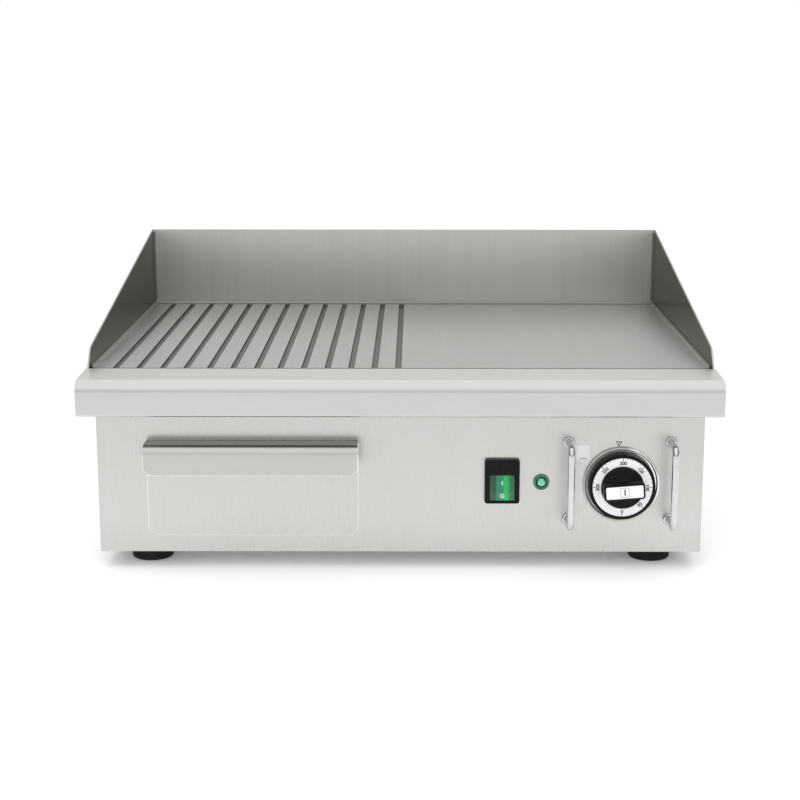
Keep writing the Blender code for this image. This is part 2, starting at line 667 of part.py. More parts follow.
# ---- controls ----
def make_switch_housing(plastic):
    """A tall bezel that snaps into the panel, with the rocker's well in its lower part and terminals behind."""
    x = (SWITCH_X - SWITCH_HALF[0], SWITCH_X + SWITCH_HALF[0])
    z = (SWITCH_Z - SWITCH_HALF[1], SWITCH_Z + SWITCH_HALF[1])
    outer = rounded_rectangle(x, z, 0.0022, 3)
    housing = add("switch_housing", prism(outer, "y", SWITCH_FACE, BODY_FRONT - GAP), plastic)
    bevel = housing.modifiers.new("Bevel", "BEVEL")
    bevel.width = 0.0008
    bevel.segments = 2
    bevel.limit_method = "ANGLE"
    bevel.angle_limit = radians(60)
    inner_x = (SWITCH_X - SWITCH_BODY_HALF[0], SWITCH_X + SWITCH_BODY_HALF[0])
    inner_z = (SWITCH_Z - SWITCH_BODY_HALF[1], SWITCH_Z + SWITCH_BODY_HALF[1])
    join(housing, helper(block(inner_x, (BODY_FRONT - 0.002, SWITCH_BODY_REAR), inner_z)))
    play = 0.0004
    well_x = (SWITCH_X - ROCKER_HALF_W - play, SWITCH_X + ROCKER_HALF_W + play)
    well_y = (SWITCH_FACE - 0.003, ROCKER_AXIS_Y + ROCKER_RADIUS + play)
    well_z = (ROCKER_Z - ROCKER_RADIUS - play, ROCKER_Z + ROCKER_RADIUS + play)
    cut(housing, helper(block(well_x, well_y, well_z)))
    tab_y = (SWITCH_BODY_REAR - 0.001, SWITCH_BODY_REAR + 0.009)
    tab_thick, tab_wide = 0.0008, 0.0063
    for tab_x in (SWITCH_X - 0.0065, SWITCH_X + 0.0065):
        for tab_z in (SWITCH_Z - 0.010, SWITCH_Z + 0.010):
            x = (tab_x - tab_thick / 2, tab_x + tab_thick / 2)
            join(housing, helper(block(x, tab_y, (tab_z - tab_wide / 2, tab_z + tab_wide / 2))))


def make_switch_rocker(green):
    """A rocker whose ends are arcs about its axis, so that it turns inside its well. It rests at I."""
    radius = ROCKER_RADIUS
    upper = pi / 2 + ROCKER_CORNER
    ends = arc((0, 0), radius, upper, -upper, 14)
    outline = ends + [(-ROCKER_FRONT, -0.004), (-ROCKER_FRONT, 0.004)]
    body = prism(outline, "x", -ROCKER_HALF_W, ROCKER_HALF_W)
    bmesh.ops.rotate(body, verts=body.verts, matrix=Matrix.Rotation(-ROCKER_REST, 3, "X"))
    moved(body, SWITCH_X, ROCKER_AXIS_Y, ROCKER_Z)
    add("switch_rocker", body, green, (SWITCH_X, ROCKER_AXIS_Y, ROCKER_Z))


def make_pilot_lamp(green, plastic):
    """A green lens with a domed middle and a flange, snapped through the panel into a black lamp body."""
    face = -BODY_FRONT + GAP
    edge = LAMP_RADIUS
    lens = (
        (0.0, 0.1905), (0.0042, 0.1905), (0.0042, face), (edge - 0.0002, face), (edge, face + 0.0008),
        (edge - 0.0004, face + 0.0018), (0.0051, face + 0.0020), (0.0047, face + 0.0010),
        (0.0039, face + 0.0010), (0.0036, face + 0.0026), (0.0025, face + 0.0040), (0.0, face + 0.0046),
    )
    add("pilot_lamp_lens", moved(turned(lens, 24, "y"), LAMP_X, 0, LAMP_Z), green)
    inner = -(BODY_FRONT + SHEET + GAP)
    holder = (
        (0.0, 0.1720), (0.0052, 0.1720), (0.0052, inner - 0.003), (0.0062, inner - 0.002), (0.0062, inner),
        (0.0045, inner), (0.0045, 0.1900), (0.0, 0.1900),
    )
    add("pilot_lamp_body", moved(turned(holder, 20, "y"), LAMP_X, 0, LAMP_Z), plastic)


def make_escutcheon(polished):
    """A pressed ring with a raised rim round the knob."""
    face = -BODY_FRONT + GAP
    edge = RIM_RADIUS
    profile = (
        (0.0110, face), (edge - 0.0005, face), (edge, face + 0.0010), (edge - 0.0004, face + 0.0026),
        (edge - 0.0013, face + 0.0032), (edge - 0.0023, face + 0.0030), (edge - 0.0030, face + 0.0014),
        (0.0110, face + 0.0012),
    )
    add("knob_escutcheon", moved(turned(profile, 32, "y"), KNOB_X, 0, KNOB_Z), polished)


def make_thermostat(plastic, steel):
    x = (KNOB_X - 0.0210, KNOB_X + 0.0210)
    y = (BODY_FRONT + SHEET + GAP, -0.1660)
    z = (KNOB_Z - 0.0180, KNOB_Z + 0.0180)
    body = add("thermostat_body", block(x, y, z), plastic)
    bevel = body.modifiers.new("Bevel", "BEVEL")
    bevel.width = 0.0020
    bevel.segments = 2
    join(body, helper(moved(rod(0.0120, 0.1640, 0.1700, 16, "y"), KNOB_X, 0, KNOB_Z)))
    cut(body, helper(moved(rod(SHAFT_RADIUS + GAP, 0.1800, 0.2100, 16, "y"), KNOB_X, 0, KNOB_Z)))
    at = (KNOB_X, SHAFT_FRONT, KNOB_Z)
    turning = moved(rod(SHAFT_RADIUS, 0.1805, -SHAFT_FRONT, 16, "y"), KNOB_X, 0, KNOB_Z)
    shaft = add("thermostat_shaft", turning, steel, at)
    flat_y = (SHAFT_FRONT - 0.005, SHAFT_FRONT + 0.011)
    cut(shaft, helper(block((KNOB_X - 0.005, KNOB_X + 0.005), flat_y, (KNOB_Z - 0.006, KNOB_Z - 0.0015))))


def make_sensor(copper):
    """The sensing bulb lies below the plate. Its fine tube runs down through the shield to the thermostat."""
    z = PLATE_TOP - PLATE_THICK - GAP - 0.0030
    bulb_start, bulb_end = SENSOR_Y + 0.115, SENSOR_Y + 0.025
    drop = [
        (SENSOR_X, SENSOR_Y + 0.018, z), (SENSOR_X, SENSOR_Y, z), (SENSOR_X, SENSOR_Y, 0.110),
        (0.150, SENSOR_Y, 0.110), (0.150, -0.120, 0.070), (KNOB_X, -0.140, KNOB_Z), (KNOB_X, -0.1636, KNOB_Z),
    ]
    thin = fillet_path(drop, (0.006, 0.012, 0.012, 0.015, 0.010), 3)
    neck = 0.0011
    route = [Vector((SENSOR_X, y, z)) for y in (bulb_start, bulb_start - 0.001, bulb_end + 0.002, bulb_end)]
    radii = [0.0018, 0.0029, 0.0029, neck] + [neck] * len(thin)
    add("thermostat_sensor", sweep(route + thin, radii, 8), copper)


def make_knob(plastic, white):
    """A skirt with a raised hub and a grip bar, bored from behind for the shaft. The axis is its origin."""
    at = (KNOB_X, KNOB_DIAL, KNOB_Z)
    back, dial = -KNOB_BACK, -KNOB_DIAL
    hub_edge, recess_edge = DIAL_RADII[0] - 0.0002, DIAL_RADII[1] + 0.0002
    skirt = (
        (0, back + 0.0050), (0.0245, back + 0.0050), (0.0270, back), (KNOB_BACK_RADIUS, back),
        (KNOB_RADIUS, dial - 0.0010), (KNOB_RADIUS - 0.0010, dial), (recess_edge, dial),
        (recess_edge, dial - 0.0006), (hub_edge, dial - 0.0006), (hub_edge, dial + 0.0028),
        (hub_edge - 0.0012, dial + 0.0040), (0, dial + 0.0040),
    )
    knob = add("control_knob", moved(turned(skirt, 36, "y"), KNOB_X, 0, KNOB_Z), plastic, at)
    grip_face = rounded_rectangle((-0.0180, 0.0180), (-0.0072, 0.0072), 0.0024, 3)
    grip = prism(grip_face, "y", KNOB_FRONT, KNOB_DIAL - 0.001)
    bmesh.ops.rotate(grip, verts=grip.verts, matrix=Matrix.Rotation(-KNOB_TILT, 3, "Y"))
    grip_shape = helper(moved(grip, KNOB_X, 0, KNOB_Z))
    bevel = grip_shape.modifiers.new("Bevel", "BEVEL")
    bevel.width = 0.0010
    bevel.segments = 2
    bevel.limit_method = "ANGLE"
    bevel.angle_limit = radians(60)
    hub = helper(moved(rod(0.0062, back - 0.0015, back + 0.0070, ROUND, "y"), KNOB_X, 0, KNOB_Z))
    join(knob, grip_shape, hub)
    bore = rod(SHAFT_RADIUS + GAP, back - 0.003, -SHAFT_FRONT + GAP, 16, "y")
    cut(knob, helper(moved(bore, KNOB_X, 0, KNOB_Z)))
    inner, outer = DIAL_RADII
    low, high = dial - GAP, dial + 0.0001
    scale = ((inner, low), (outer, low), (outer, high), (inner, high))
    add("knob_scale_ring", moved(turned(scale, 36, "y"), KNOB_X, 0, KNOB_Z), white, at)
    bar_face = rounded_rectangle((-0.0162, 0.0162), (-0.0053, 0.0053), 0.0012, 3)
    bar = prism(bar_face, "y", KNOB_FRONT - GAP - 0.0006, KNOB_FRONT - GAP)
    bmesh.ops.rotate(bar, verts=bar.verts, matrix=Matrix.Rotation(-KNOB_TILT, 3, "Y"))
    add("knob_label_bar", moved(bar, KNOB_X, 0, KNOB_Z), white, at)


def make_guard(name, x, chrome):
    """A bent rod whose two legs pass through the panel."""
    front = GUARD_FRONT + GUARD_RADIUS
    inside = BODY_FRONT + 0.008
    path = ((x, inside, GUARD_Z[0]), (x, front, GUARD_Z[0]), (x, front, GUARD_Z[1]), (x, inside, GUARD_Z[1]))
    add(name, tube(fillet_path(path, (GUARD_BEND, GUARD_BEND), 4), GUARD_RADIUS, 12), chrome)


def make_guard_fastenings(x, side, chrome, zinc):
    """A ferrule in front of the panel and a nut behind it, on each leg."""
    outer = -BODY_FRONT + GAP
    inner = -(BODY_FRONT + SHEET + GAP)
    bore = GUARD_RADIUS + GAP
    for end, z in zip(("lower", "upper"), GUARD_Z):
        front = outer + 0.0022
        ferrule = ((bore, outer), (0.0052, outer), (0.0052, outer + 0.0012), (0.0044, front), (bore, front))
        add(f"guard_ferrule_{side}_{end}", moved(turned(ferrule, 16, "y"), x, 0, z), chrome)
        hexagon = bore / cos(pi / 6)
        nut = ((hexagon, inner - 0.0040), (0.0058, inner - 0.0040), (0.0058, inner), (hexagon, inner))
        add(f"guard_nut_{side}_{end}", moved(turned(nut, 6, "y"), x, 0, z), zinc)


# ---- feet ----
def make_foot(name, x, y, rubber):
    top = BODY_BOTTOM
    profile = (
        (FOOT_RADIUS - 0.0030, 0.0), (FOOT_RADIUS - 0.0010, 0.0014), (FOOT_RADIUS, 0.0120),
        (FOOT_RADIUS - 0.0012, top), (0.0026, top), (0.0026, 0.0060), (0.0056, 0.0060), (0.0056, 0.0),
    )
    add(name, moved(turned(profile, ROUND), x, y), rubber)


def make_foot_screw(name, x, y, zinc):
    """A pan-head screw from below, inside the foot."""
    profile = (
        (0, 0.0022), (0.0040, 0.0026), (0.0046, 0.0036), (0.0046, 0.0057), (0.0022, 0.0057), (0.0022, 0.0190),
        (0, 0.0190),
    )
    add(name, moved(turned(profile, 14), x, y), zinc)


# ---- electrics ----
def make_cable_gland(plastic):
    """A threaded gland through the rear panel, held by a locknut inside. Its bore is open."""
    outside = BODY_REAR + GAP
    overhang = -GUARD_FRONT
    profile = (
        (0.0050, -overhang), (0.0078, -overhang), (0.0100, -overhang + 0.0030), (0.0100, -outside - 0.0080),
        (0.0118, -outside - 0.0070), (0.0118, -outside), (0.0080, -outside), (0.0080, -BODY_REAR + 0.0110),
        (0.0050, -BODY_REAR + 0.0110),
    )
    add("cable_gland", moved(turned(profile, 18, "y"), GLAND_X, 0, GLAND_Z), plastic)
    inside = -(BODY_REAR - SHEET - GAP)
    bore = GLAND_HOLE / cos(pi / 6)
    nut = ((bore, inside), (0.0135, inside), (0.0135, inside + 0.0050), (bore, inside + 0.0050))
    add("gland_locknut", moved(turned(nut, 6, "y"), GLAND_X, 0, GLAND_Z), plastic)


def make_terminal_block(ceramic):
    floor = BODY_BOTTOM + GAP + SHEET + GAP
    pitch = 0.016
    middle_x = 0.136
    y = (SUPPLY_Y - 0.011, SUPPLY_Y + 0.011)
    x = (middle_x - pitch * 1.5, middle_x + pitch * 1.5)
    body = add("terminal_block", block(x, y, (floor, floor + 0.020)), ceramic)
    for i in (-1, 0, 1):
        pole = middle_x + i * pitch
        screw_well = moved(rod(0.0034, floor + 0.013, floor + 0.03, 12), pole, SUPPLY_Y)
        wire_x, wire_y = (pole - 0.0025, pole + 0.0025), (y[0] - 0.01, y[1] + 0.01)
        cut(body, helper(screw_well), helper(block(wire_x, wire_y, (floor + 0.004, floor + 0.009))))


def make_high_limit(ceramic):
    """A bimetal cut-out fixed below the heat shield."""
    top = SHIELD_BOTTOM - GAP
    profile = (
        (0, top - 0.0140), (0.0080, top - 0.0140), (0.0080, top - 0.0040), (0.0115, top - 0.0040),
        (0.0115, top), (0, top),
    )
    body = add("high_limit_cutout", moved(turned(profile, ROUND), HIGH_LIMIT_X, HIGH_LIMIT_Y), ceramic)
    for side in (-1, 1):
        tab_x = sorted((HIGH_LIMIT_X + side * 0.0050, HIGH_LIMIT_X + side * 0.0140))
        tab_y = (HIGH_LIMIT_Y - 0.003, HIGH_LIMIT_Y + 0.003)
        join(body, helper(block(tab_x, tab_y, (top - 0.0125, top - 0.0117))))


def make_earth_stud(zinc):
    floor = BODY_BOTTOM + GAP + SHEET + GAP
    profile = (
        (0, floor), (0.0048, floor), (0.0048, floor + 0.004), (0.0025, floor + 0.004), (0.0025, floor + 0.018),
        (0, floor + 0.018),
    )
    add("earth_stud", moved(turned(profile, 12), EARTH_X, SUPPLY_Y), zinc)


# ---- the whole griddle ----
def clear_scene():
    for old in list(bpy.data.objects):
        bpy.data.objects.remove(old)


def main():
    clear_scene()
    brushed = material("brushed_stainless", (0.62, 0.61, 0.59), 0.35, 1.0)
    top_steel = material("satin_stainless", (0.66, 0.65, 0.63), 0.30, 1.0)
    plate_steel = material("ground_steel", (0.55, 0.55, 0.55), 0.28, 1.0)
    galvanised = material("galvanised_steel", (0.52, 0.54, 0.55), 0.55, 1.0)
    chrome = material("chrome", (0.80, 0.80, 0.80), 0.08, 1.0)
    zinc = material("zinc_plated", (0.66, 0.66, 0.62), 0.35, 1.0)
    black = material("black_plastic", (0.02, 0.02, 0.022), 0.30, 0.0)
    grey = material("grey_phenolic", (0.12, 0.12, 0.13), 0.55, 0.0)
    white = material("white_print", (0.85, 0.86, 0.88), 0.40, 0.0)
    green = material("green_lens", (0.02, 0.45, 0.18), 0.15, 0.0)
    rubber = material("black_rubber", (0.02, 0.02, 0.02), 0.75, 0.0)
    sheath = material("element_sheath", (0.20, 0.19, 0.17), 0.50, 1.0)
    wool = material("mineral_wool", (0.72, 0.70, 0.64), 0.95, 0.0)
    copper = material("copper", (0.72, 0.42, 0.28), 0.30, 1.0)
    ceramic = material("ceramic", (0.86, 0.84, 0.78), 0.60, 0.0)

    make_front_panel(brushed)
    make_side_panel("side_panel_left", -1, brushed)
    make_side_panel("side_panel_right", 1, brushed)
    make_rear_panel(brushed)
    make_base_plate(galvanised)

    make_front_apron(top_steel)
    make_splash_side("splash_left", -1, top_steel)
    make_splash_side("splash_right", 1, top_steel)
    make_splash_rear(top_steel)
    make_griddle_plate(plate_steel)
    make_drain_spout(top_steel)

    make_heating_element("heating_element_left", ELEMENT_MIDDLES[0], sheath)
    make_heating_element("heating_element_right", ELEMENT_MIDDLES[1], sheath)
    make_clamp("element_clamp_front", CLAMP_Y[0], galvanised)
    make_clamp("element_clamp_rear", CLAMP_Y[1], galvanised)
    make_clamp_nuts(zinc)
    make_heat_shield(galvanised)
    make_insulation(wool)

    make_drawer_front(brushed)
    make_drawer_tray(brushed)
    make_drawer_rail("drawer_rail_left", -1, galvanised)
    make_drawer_rail("drawer_rail_right", 1, galvanised)
    make_rail_support(galvanised)

    make_switch_housing(black)
    make_switch_rocker(green)
    make_pilot_lamp(green, black)
    make_escutcheon(chrome)
    make_thermostat(grey, zinc)
    make_sensor(copper)
    make_knob(black, white)
    for side, x in zip(("left", "right"), GUARD_X):
        make_guard(f"knob_guard_{side}", x, chrome)
        make_guard_fastenings(x, side, chrome, zinc)

    for side, x in (("left", -FOOT_X), ("right", FOOT_X)):
        for row, y in zip(("front", "rear"), FOOT_Y):
            make_foot(f"foot_{row}_{side}", x, y, rubber)
            make_foot_screw(f"foot_screw_{row}_{side}", x, y, zinc)

    make_cable_gland(black)
    make_terminal_block(ceramic)
    make_high_limit(ceramic)
    make_earth_stud(zinc)


main()
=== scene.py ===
"""The looks of the electric griddle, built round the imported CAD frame.

Metres, +Z up, +X to the right seen from the front, the front faces -Y. A piece is made where its CAD node is,
from that node's box, with finer rounding, real edges and the small detail that the CAD leaves out.
"""

import json
from math import acos, atan2, cos, pi, radians, sin, tan

import bmesh
import bpy
from mathutils import Matrix, Vector


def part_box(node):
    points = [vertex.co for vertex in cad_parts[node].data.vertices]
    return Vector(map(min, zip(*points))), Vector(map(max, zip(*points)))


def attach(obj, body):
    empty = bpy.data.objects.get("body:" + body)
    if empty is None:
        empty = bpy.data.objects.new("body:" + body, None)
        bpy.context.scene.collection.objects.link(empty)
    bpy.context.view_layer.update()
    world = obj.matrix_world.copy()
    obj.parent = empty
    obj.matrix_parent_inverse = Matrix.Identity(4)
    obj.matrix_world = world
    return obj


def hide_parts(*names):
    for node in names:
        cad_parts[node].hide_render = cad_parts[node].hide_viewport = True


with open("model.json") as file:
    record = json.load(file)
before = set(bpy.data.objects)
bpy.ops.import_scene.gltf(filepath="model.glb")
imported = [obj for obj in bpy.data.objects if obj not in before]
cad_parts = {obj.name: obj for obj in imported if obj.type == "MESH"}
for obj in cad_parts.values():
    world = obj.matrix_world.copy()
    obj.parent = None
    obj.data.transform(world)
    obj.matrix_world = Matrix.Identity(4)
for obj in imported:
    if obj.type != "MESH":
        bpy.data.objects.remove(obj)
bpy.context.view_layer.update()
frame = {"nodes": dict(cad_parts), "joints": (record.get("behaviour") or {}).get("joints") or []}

nodes = frame["nodes"]


def spans(node):
    """The x, y and z ranges of a CAD node at rest."""
    low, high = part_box(node)
    return tuple(zip(low, high))


# ---- sizes read from the frame ----
GAP = 0.0003
SHEET = 0.0012
SPLASH_SHEET = 0.0015
BEAD_LEG = 0.0045             # of the CAD's fillet above the hotplate

PANEL_X, PANEL_Y, PANEL_Z = spans("front_panel")
PANEL_FACE = PANEL_Y[0]
APRON_X, APRON_Y, APRON_Z = spans("front_apron")
SPLASH_X, SPLASH_Y, SPLASH_Z = spans("splash_left")
REAR_X, REAR_Y, REAR_Z = spans("splash_rear")
PLATE_X, PLATE_Y, PLATE_Z = spans("griddle_plate")
PLATE_TOP = PLATE_Z[1] - BEAD_LEG
SPOUT_X, SPOUT_Y, SPOUT_Z = spans("drain_spout")
DRAWER_X, DRAWER_Y, DRAWER_Z = spans("drawer_front")
TRAY_X, TRAY_Y, TRAY_Z = spans("drawer_tray")
SWITCH_X, SWITCH_Y, SWITCH_Z = spans("switch_housing")
ROCKER_X, ROCKER_Y, ROCKER_Z = spans("switch_rocker")
LAMP_X, LAMP_Y, LAMP_Z = spans("pilot_lamp_lens")
RIM_X, RIM_Y, RIM_Z = spans("knob_escutcheon")
KNOB_X, KNOB_Y, KNOB_Z = spans("control_knob")
SCALE_X, SCALE_Y, SCALE_Z = spans("knob_scale_ring")
BAR_X, BAR_Y, BAR_Z = spans("knob_label_bar")
GLAND_X, GLAND_Y, GLAND_Z = spans("cable_gland")

JOINTS = {joint["name"]: joint for joint in frame["joints"]}
KNOB_AXIS = Vector(JOINTS["knob_turn"]["pos_m"])
ROCKER_AXIS = Vector(JOINTS["rocker_tilt"]["pos_m"])


def middle(span):
    return (span[0] + span[1]) / 2


# ---- shapes ----
AXIS_ORDER = {"x": (1, 2, 0), "y": (0, 2, 1), "z": (0, 1, 2)}


def prism(outline, axis, low, high):
    """Extrudes a closed outline along an axis. The outline is in (y, z), (x, z) or (x, y)."""
    first, second, along = AXIS_ORDER[axis]
    made = bmesh.new()
    ends = []
    for place in (low, high):
        ring = []
        for u, v in outline:
            point = [0.0, 0.0, 0.0]
            point[first], point[second], point[along] = u, v, place
            ring.append(made.verts.new(point))
        ends.append(ring)
    made.faces.new(ends[0])
    made.faces.new(ends[1][::-1])
    count = len(outline)
    for i in range(count):
        j = (i + 1) % count
        made.faces.new((ends[0][i], ends[1][i], ends[1][j], ends[0][j]))
    return made


def block(x, y, z):
    return prism(((x[0], y[0]), (x[1], y[0]), (x[1], y[1]), (x[0], y[1])), "z", z[0], z[1])


def arc(centre, radius, start, end, steps):
    angles = (start + (end - start) * i / steps for i in range(steps + 1))
    return [(centre[0] + radius * cos(a), centre[1] + radius * sin(a)) for a in angles]


def domed(radius, base, rise, steps):
    """The (radius, height) points of a dome's side, without its rim and its crown."""
    return [(radius * cos(a), base + rise * sin(a)) for a in (pi / 2 * k / steps for k in range(1, steps))]


def circle(centre, radius, sides):
    return arc(centre, radius, 0, 2 * pi * (sides - 1) / sides, sides - 1)


def rounded_rectangle(x, z, radius, steps=8):
    corners = (
        (x[1] - radius, z[1] - radius, 0.0),
        (x[0] + radius, z[1] - radius, pi / 2),
        (x[0] + radius, z[0] + radius, pi),
        (x[1] - radius, z[0] + radius, 3 * pi / 2),
    )
    outline = []
    for u, v, start in corners:
        outline += arc((u, v), radius, start, start + pi / 2, steps)
    return outline


def bent_sheet(path, thickness, radii, steps=10):
    """The closed outline of a folded sheet whose middle line follows the path, with a radius at each fold."""
    points = [Vector(p) for p in path]
    line = [(points[0], (points[1] - points[0]).normalized())]
    for before, corner, after, radius in zip(points, points[1:], points[2:], radii):
        towards = (corner - before).normalized()
        away = (after - corner).normalized()
        turn = atan2(towards.x * away.y - towards.y * away.x, towards.dot(away))
        back = radius * tan(abs(turn) / 2)
        side = Vector((-towards.y, towards.x)) * (1 if turn > 0 else -1)
        centre = corner - towards * back + side * radius
        for i in range(steps + 1):
            swing = Matrix.Rotation(turn * i / steps, 2)
            line.append((centre - (swing @ side) * radius, swing @ towards))
    line.append((points[-1], (points[-1] - points[-2]).normalized()))
    left = [p + Vector((-d.y, d.x)) * thickness / 2 for p, d in line]
    right = [p - Vector((-d.y, d.x)) * thickness / 2 for p, d in line]
    return [tuple(p) for p in left + right[::-1]]


def turned(profile, sides, direction="z", ribs=0, rib_depth=0.0, ribbed=()):
    """Turns a closed (radius, height) profile about an axis. The points listed in ribbed get flutes."""
    made = bmesh.new()
    rings = []
    for index, (radius, height) in enumerate(profile):
        if radius == 0:
            rings.append([made.verts.new((0.0, 0.0, height))])
            continue
        ring = []
        for i in range(sides):
            angle = 2 * pi * i / sides
            flute = rib_depth * max(0.0, sin(ribs * angle)) if index in ribbed else 0.0
            reach = radius - flute
            ring.append(made.verts.new((reach * cos(angle), reach * sin(angle), height)))
        rings.append(ring)
    pairs = list(zip(rings, rings[1:]))
    if profile[0][0] and profile[-1][0]:
        pairs.append((rings[-1], rings[0]))
    for one, other in pairs:
        for i in range(sides):
            j = (i + 1) % sides
            corners = [one[i % len(one)], one[j % len(one)], other[j % len(other)], other[i % len(other)]]
            unique = list(dict.fromkeys(corners))
            if len(unique) > 2:
                made.faces.new(unique)
    if direction == "y":
        bmesh.ops.rotate(made, verts=made.verts, matrix=Matrix.Rotation(pi / 2, 3, "X"))
    return made


def moved(shape, x=0.0, y=0.0, z=0.0):
    bmesh.ops.translate(shape, verts=shape.verts, vec=(x, y, z))
    return shape


def swung(shape, angle, axis, about=(0.0, 0.0, 0.0)):
    bmesh.ops.rotate(shape, verts=shape.verts, cent=about, matrix=Matrix.Rotation(angle, 3, axis))
    return shape


def merged(*shapes):
    """One bmesh that holds several closed shapes."""
    whole = bmesh.new()
    for shape in shapes:
        mesh = bpy.data.meshes.new("part")
        shape.to_mesh(mesh)
        shape.free()
        whole.from_mesh(mesh)
        bpy.data.meshes.remove(mesh)
    return whole


def fillet_path(path, bends, steps):
    """A route in space with each inner corner rounded by an arc."""
    points = [Vector(p) for p in path]
    route = [points[0]]
    for before, corner, after, radius in zip(points, points[1:], points[2:], bends):
        towards = (corner - before).normalized()
        away = (after - corner).normalized()
        turn = acos(max(-1.0, min(1.0, towards.dot(away))))
        axis = towards.cross(away).normalized()
        side = axis.cross(towards)
        centre = corner - towards * radius * tan(turn / 2) + side * radius
        for i in range(steps + 1):
            route.append(centre - (Matrix.Rotation(turn * i / steps, 3, axis) @ side) * radius)
    route.append(points[-1])
    return route


def tube(route, radius, sides):
    points = [Vector(p) for p in route]
    across = (points[1] - points[0]).orthogonal().normalized()
    made = bmesh.new()
    rings = []
    for i, point in enumerate(points):
        ahead = (points[min(i + 1, len(points) - 1)] - points[max(i - 1, 0)]).normalized()
        across = (across - ahead * across.dot(ahead)).normalized()
        other = ahead.cross(across)
        angles = [2 * pi * k / sides for k in range(sides)]
        rings.append([made.verts.new(point + (across * cos(a) + other * sin(a)) * radius) for a in angles])
    for one, other_ring in zip(rings, rings[1:]):
        for k in range(sides):
            j = (k + 1) % sides
            made.faces.new((one[k], one[j], other_ring[j], other_ring[k]))
    made.faces.new(rings[0])
    made.faces.new(rings[-1][::-1])
    return made


def lettering(text, height, depth, weight):
    """Upright numbers that face the front, centred on the origin. The weight thickens their strokes."""
    curve = bpy.data.curves.new("text", "FONT")
    curve.body = text
    curve.size = height / 0.7
    curve.extrude = depth / 2
    curve.offset = weight
    curve.align_x = "CENTER"
    curve.align_y = "CENTER"
    carrier = bpy.data.objects.new("text", curve)
    bpy.context.scene.collection.objects.link(carrier)
    bpy.context.view_layer.update()
    mesh = bpy.data.meshes.new_from_object(carrier.evaluated_get(bpy.context.evaluated_depsgraph_get()))
    bpy.data.objects.remove(carrier)
    shape = bmesh.new()
    shape.from_mesh(mesh)
    bpy.data.meshes.remove(mesh)
    bmesh.ops.remove_doubles(shape, verts=shape.verts, dist=0.000001)
    return swung(shape, pi / 2, "X")


# ---- pieces ----
def mesh_object(name, shape):
    mesh = bpy.data.meshes.new(name)
    bmesh.ops.recalc_face_normals(shape, faces=shape.faces)
    shape.to_mesh(mesh)
    shape.free()
    made = bpy.data.objects.new(name, mesh)
    bpy.context.scene.collection.objects.link(made)
    return made


def boolean(target, operation, *shapes):
    """Cuts shapes from a piece, or joins them to it, and keeps the result as its mesh."""
    helpers = [mesh_object("helper", shape) for shape in shapes]
    for other in helpers:
        modifier = target.modifiers.new(operation, "BOOLEAN")
        modifier.operation = operation
        modifier.object = other
    graph = bpy.context.evaluated_depsgraph_get()
    result = bpy.data.meshes.new_from_object(target.evaluated_get(graph))
    target.modifiers.clear()
    target.data = result
    for other in helpers:
        bpy.data.objects.remove(other)


def soften(piece, width, segments=2, edge_slot=-1):
    """Rounds the edges of a piece a little, as a press or a file does. The edges may have their own slot."""
    piece.data.shade_smooth()
    bevel = piece.modifiers.new("Bevel", "BEVEL")
    bevel.width = width
    bevel.segments = segments
    # an edge slot holds a painted highlight on the bevel faces
    bevel.material = edge_slot
    bevel.limit_method = "ANGLE"
    bevel.angle_limit = radians(38)
    weighted = piece.modifiers.new("Weighted", "WEIGHTED_NORMAL")
    weighted.keep_sharp = True


def smooth(piece, angle=35):
    piece.data.shade_smooth()
    piece.data.set_sharp_from_angle(angle=radians(angle))


def settle(piece, finish, body, replaces=(), edge=0.0, painted_edge_highlight=None):
    """Gives a new piece its material, its edges and its body, and hides the CAD nodes that it stands for."""
    piece.data.materials.clear()
    piece.data.materials.append(finish)
    # an edge material paints a highlight along the bevelled edges
    if painted_edge_highlight:
        piece.data.materials.append(painted_edge_highlight)
    if edge:
        soften(piece, edge, 2, 1 if painted_edge_highlight else -1)
    else:
        smooth(piece)
    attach(piece, body)
    if replaces:
        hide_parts(*replaces)
    return piece


def dress(node, finish, edge=0.0):
    """Gives a CAD node that stays visible its material and, on a sheet, softened edges."""
    shown = nodes[node]
    shown.data.materials.clear()
    shown.data.materials.append(finish)
    weld = shown.modifiers.new("Weld", "WELD")
    weld.merge_threshold = 0.00001
    if edge:
        soften(shown, edge)
    else:
        smooth(shown)


# ---- materials ----
def new_material(name):
    made = bpy.data.materials.new(name)
    made.use_nodes = True
    tree = made.node_tree
    return made, tree.nodes, tree.links, tree.nodes["Principled BSDF"]


def grain(tree_nodes, links, scale, detail=4.0, rough=0.6):
    """Noise over the object's own coordinates, stretched by a different scale along each axis."""
    place = tree_nodes.new("ShaderNodeTexCoord")
    mapping = tree_nodes.new("ShaderNodeMapping")
    mapping.inputs["Scale"].default_value = scale
    noise = tree_nodes.new("ShaderNodeTexNoise")
    noise.inputs["Scale"].default_value = 1.0
    noise.inputs["Detail"].default_value = detail
    noise.inputs["Roughness"].default_value = rough
    links.new(place.outputs["Object"], mapping.inputs["Vector"])
    links.new(mapping.outputs["Vector"], noise.inputs["Vector"])
    return noise.outputs["Fac"]


def between(tree_nodes, links, factor, dark, light, low=0.35, high=0.65):
    ramp = tree_nodes.new("ShaderNodeValToRGB")
    ramp.color_ramp.elements[0].position = low
    ramp.color_ramp.elements[0].color = (*dark, 1.0)
    ramp.color_ramp.elements[1].position = high
    ramp.color_ramp.elements[1].color = (*light, 1.0)
    links.new(factor, ramp.inputs["Fac"])
    return ramp.outputs["Color"]


def ranged(tree_nodes, links, factor, low, high, source=(0.3, 0.7)):
    remap = tree_nodes.new("ShaderNodeMapRange")
    remap.inputs["From Min"].default_value = source[0]
    remap.inputs["From Max"].default_value = source[1]
    remap.inputs["To Min"].default_value = low
    remap.inputs["To Max"].default_value = high
    links.new(factor, remap.inputs["Value"])
    return remap.outputs["Result"]


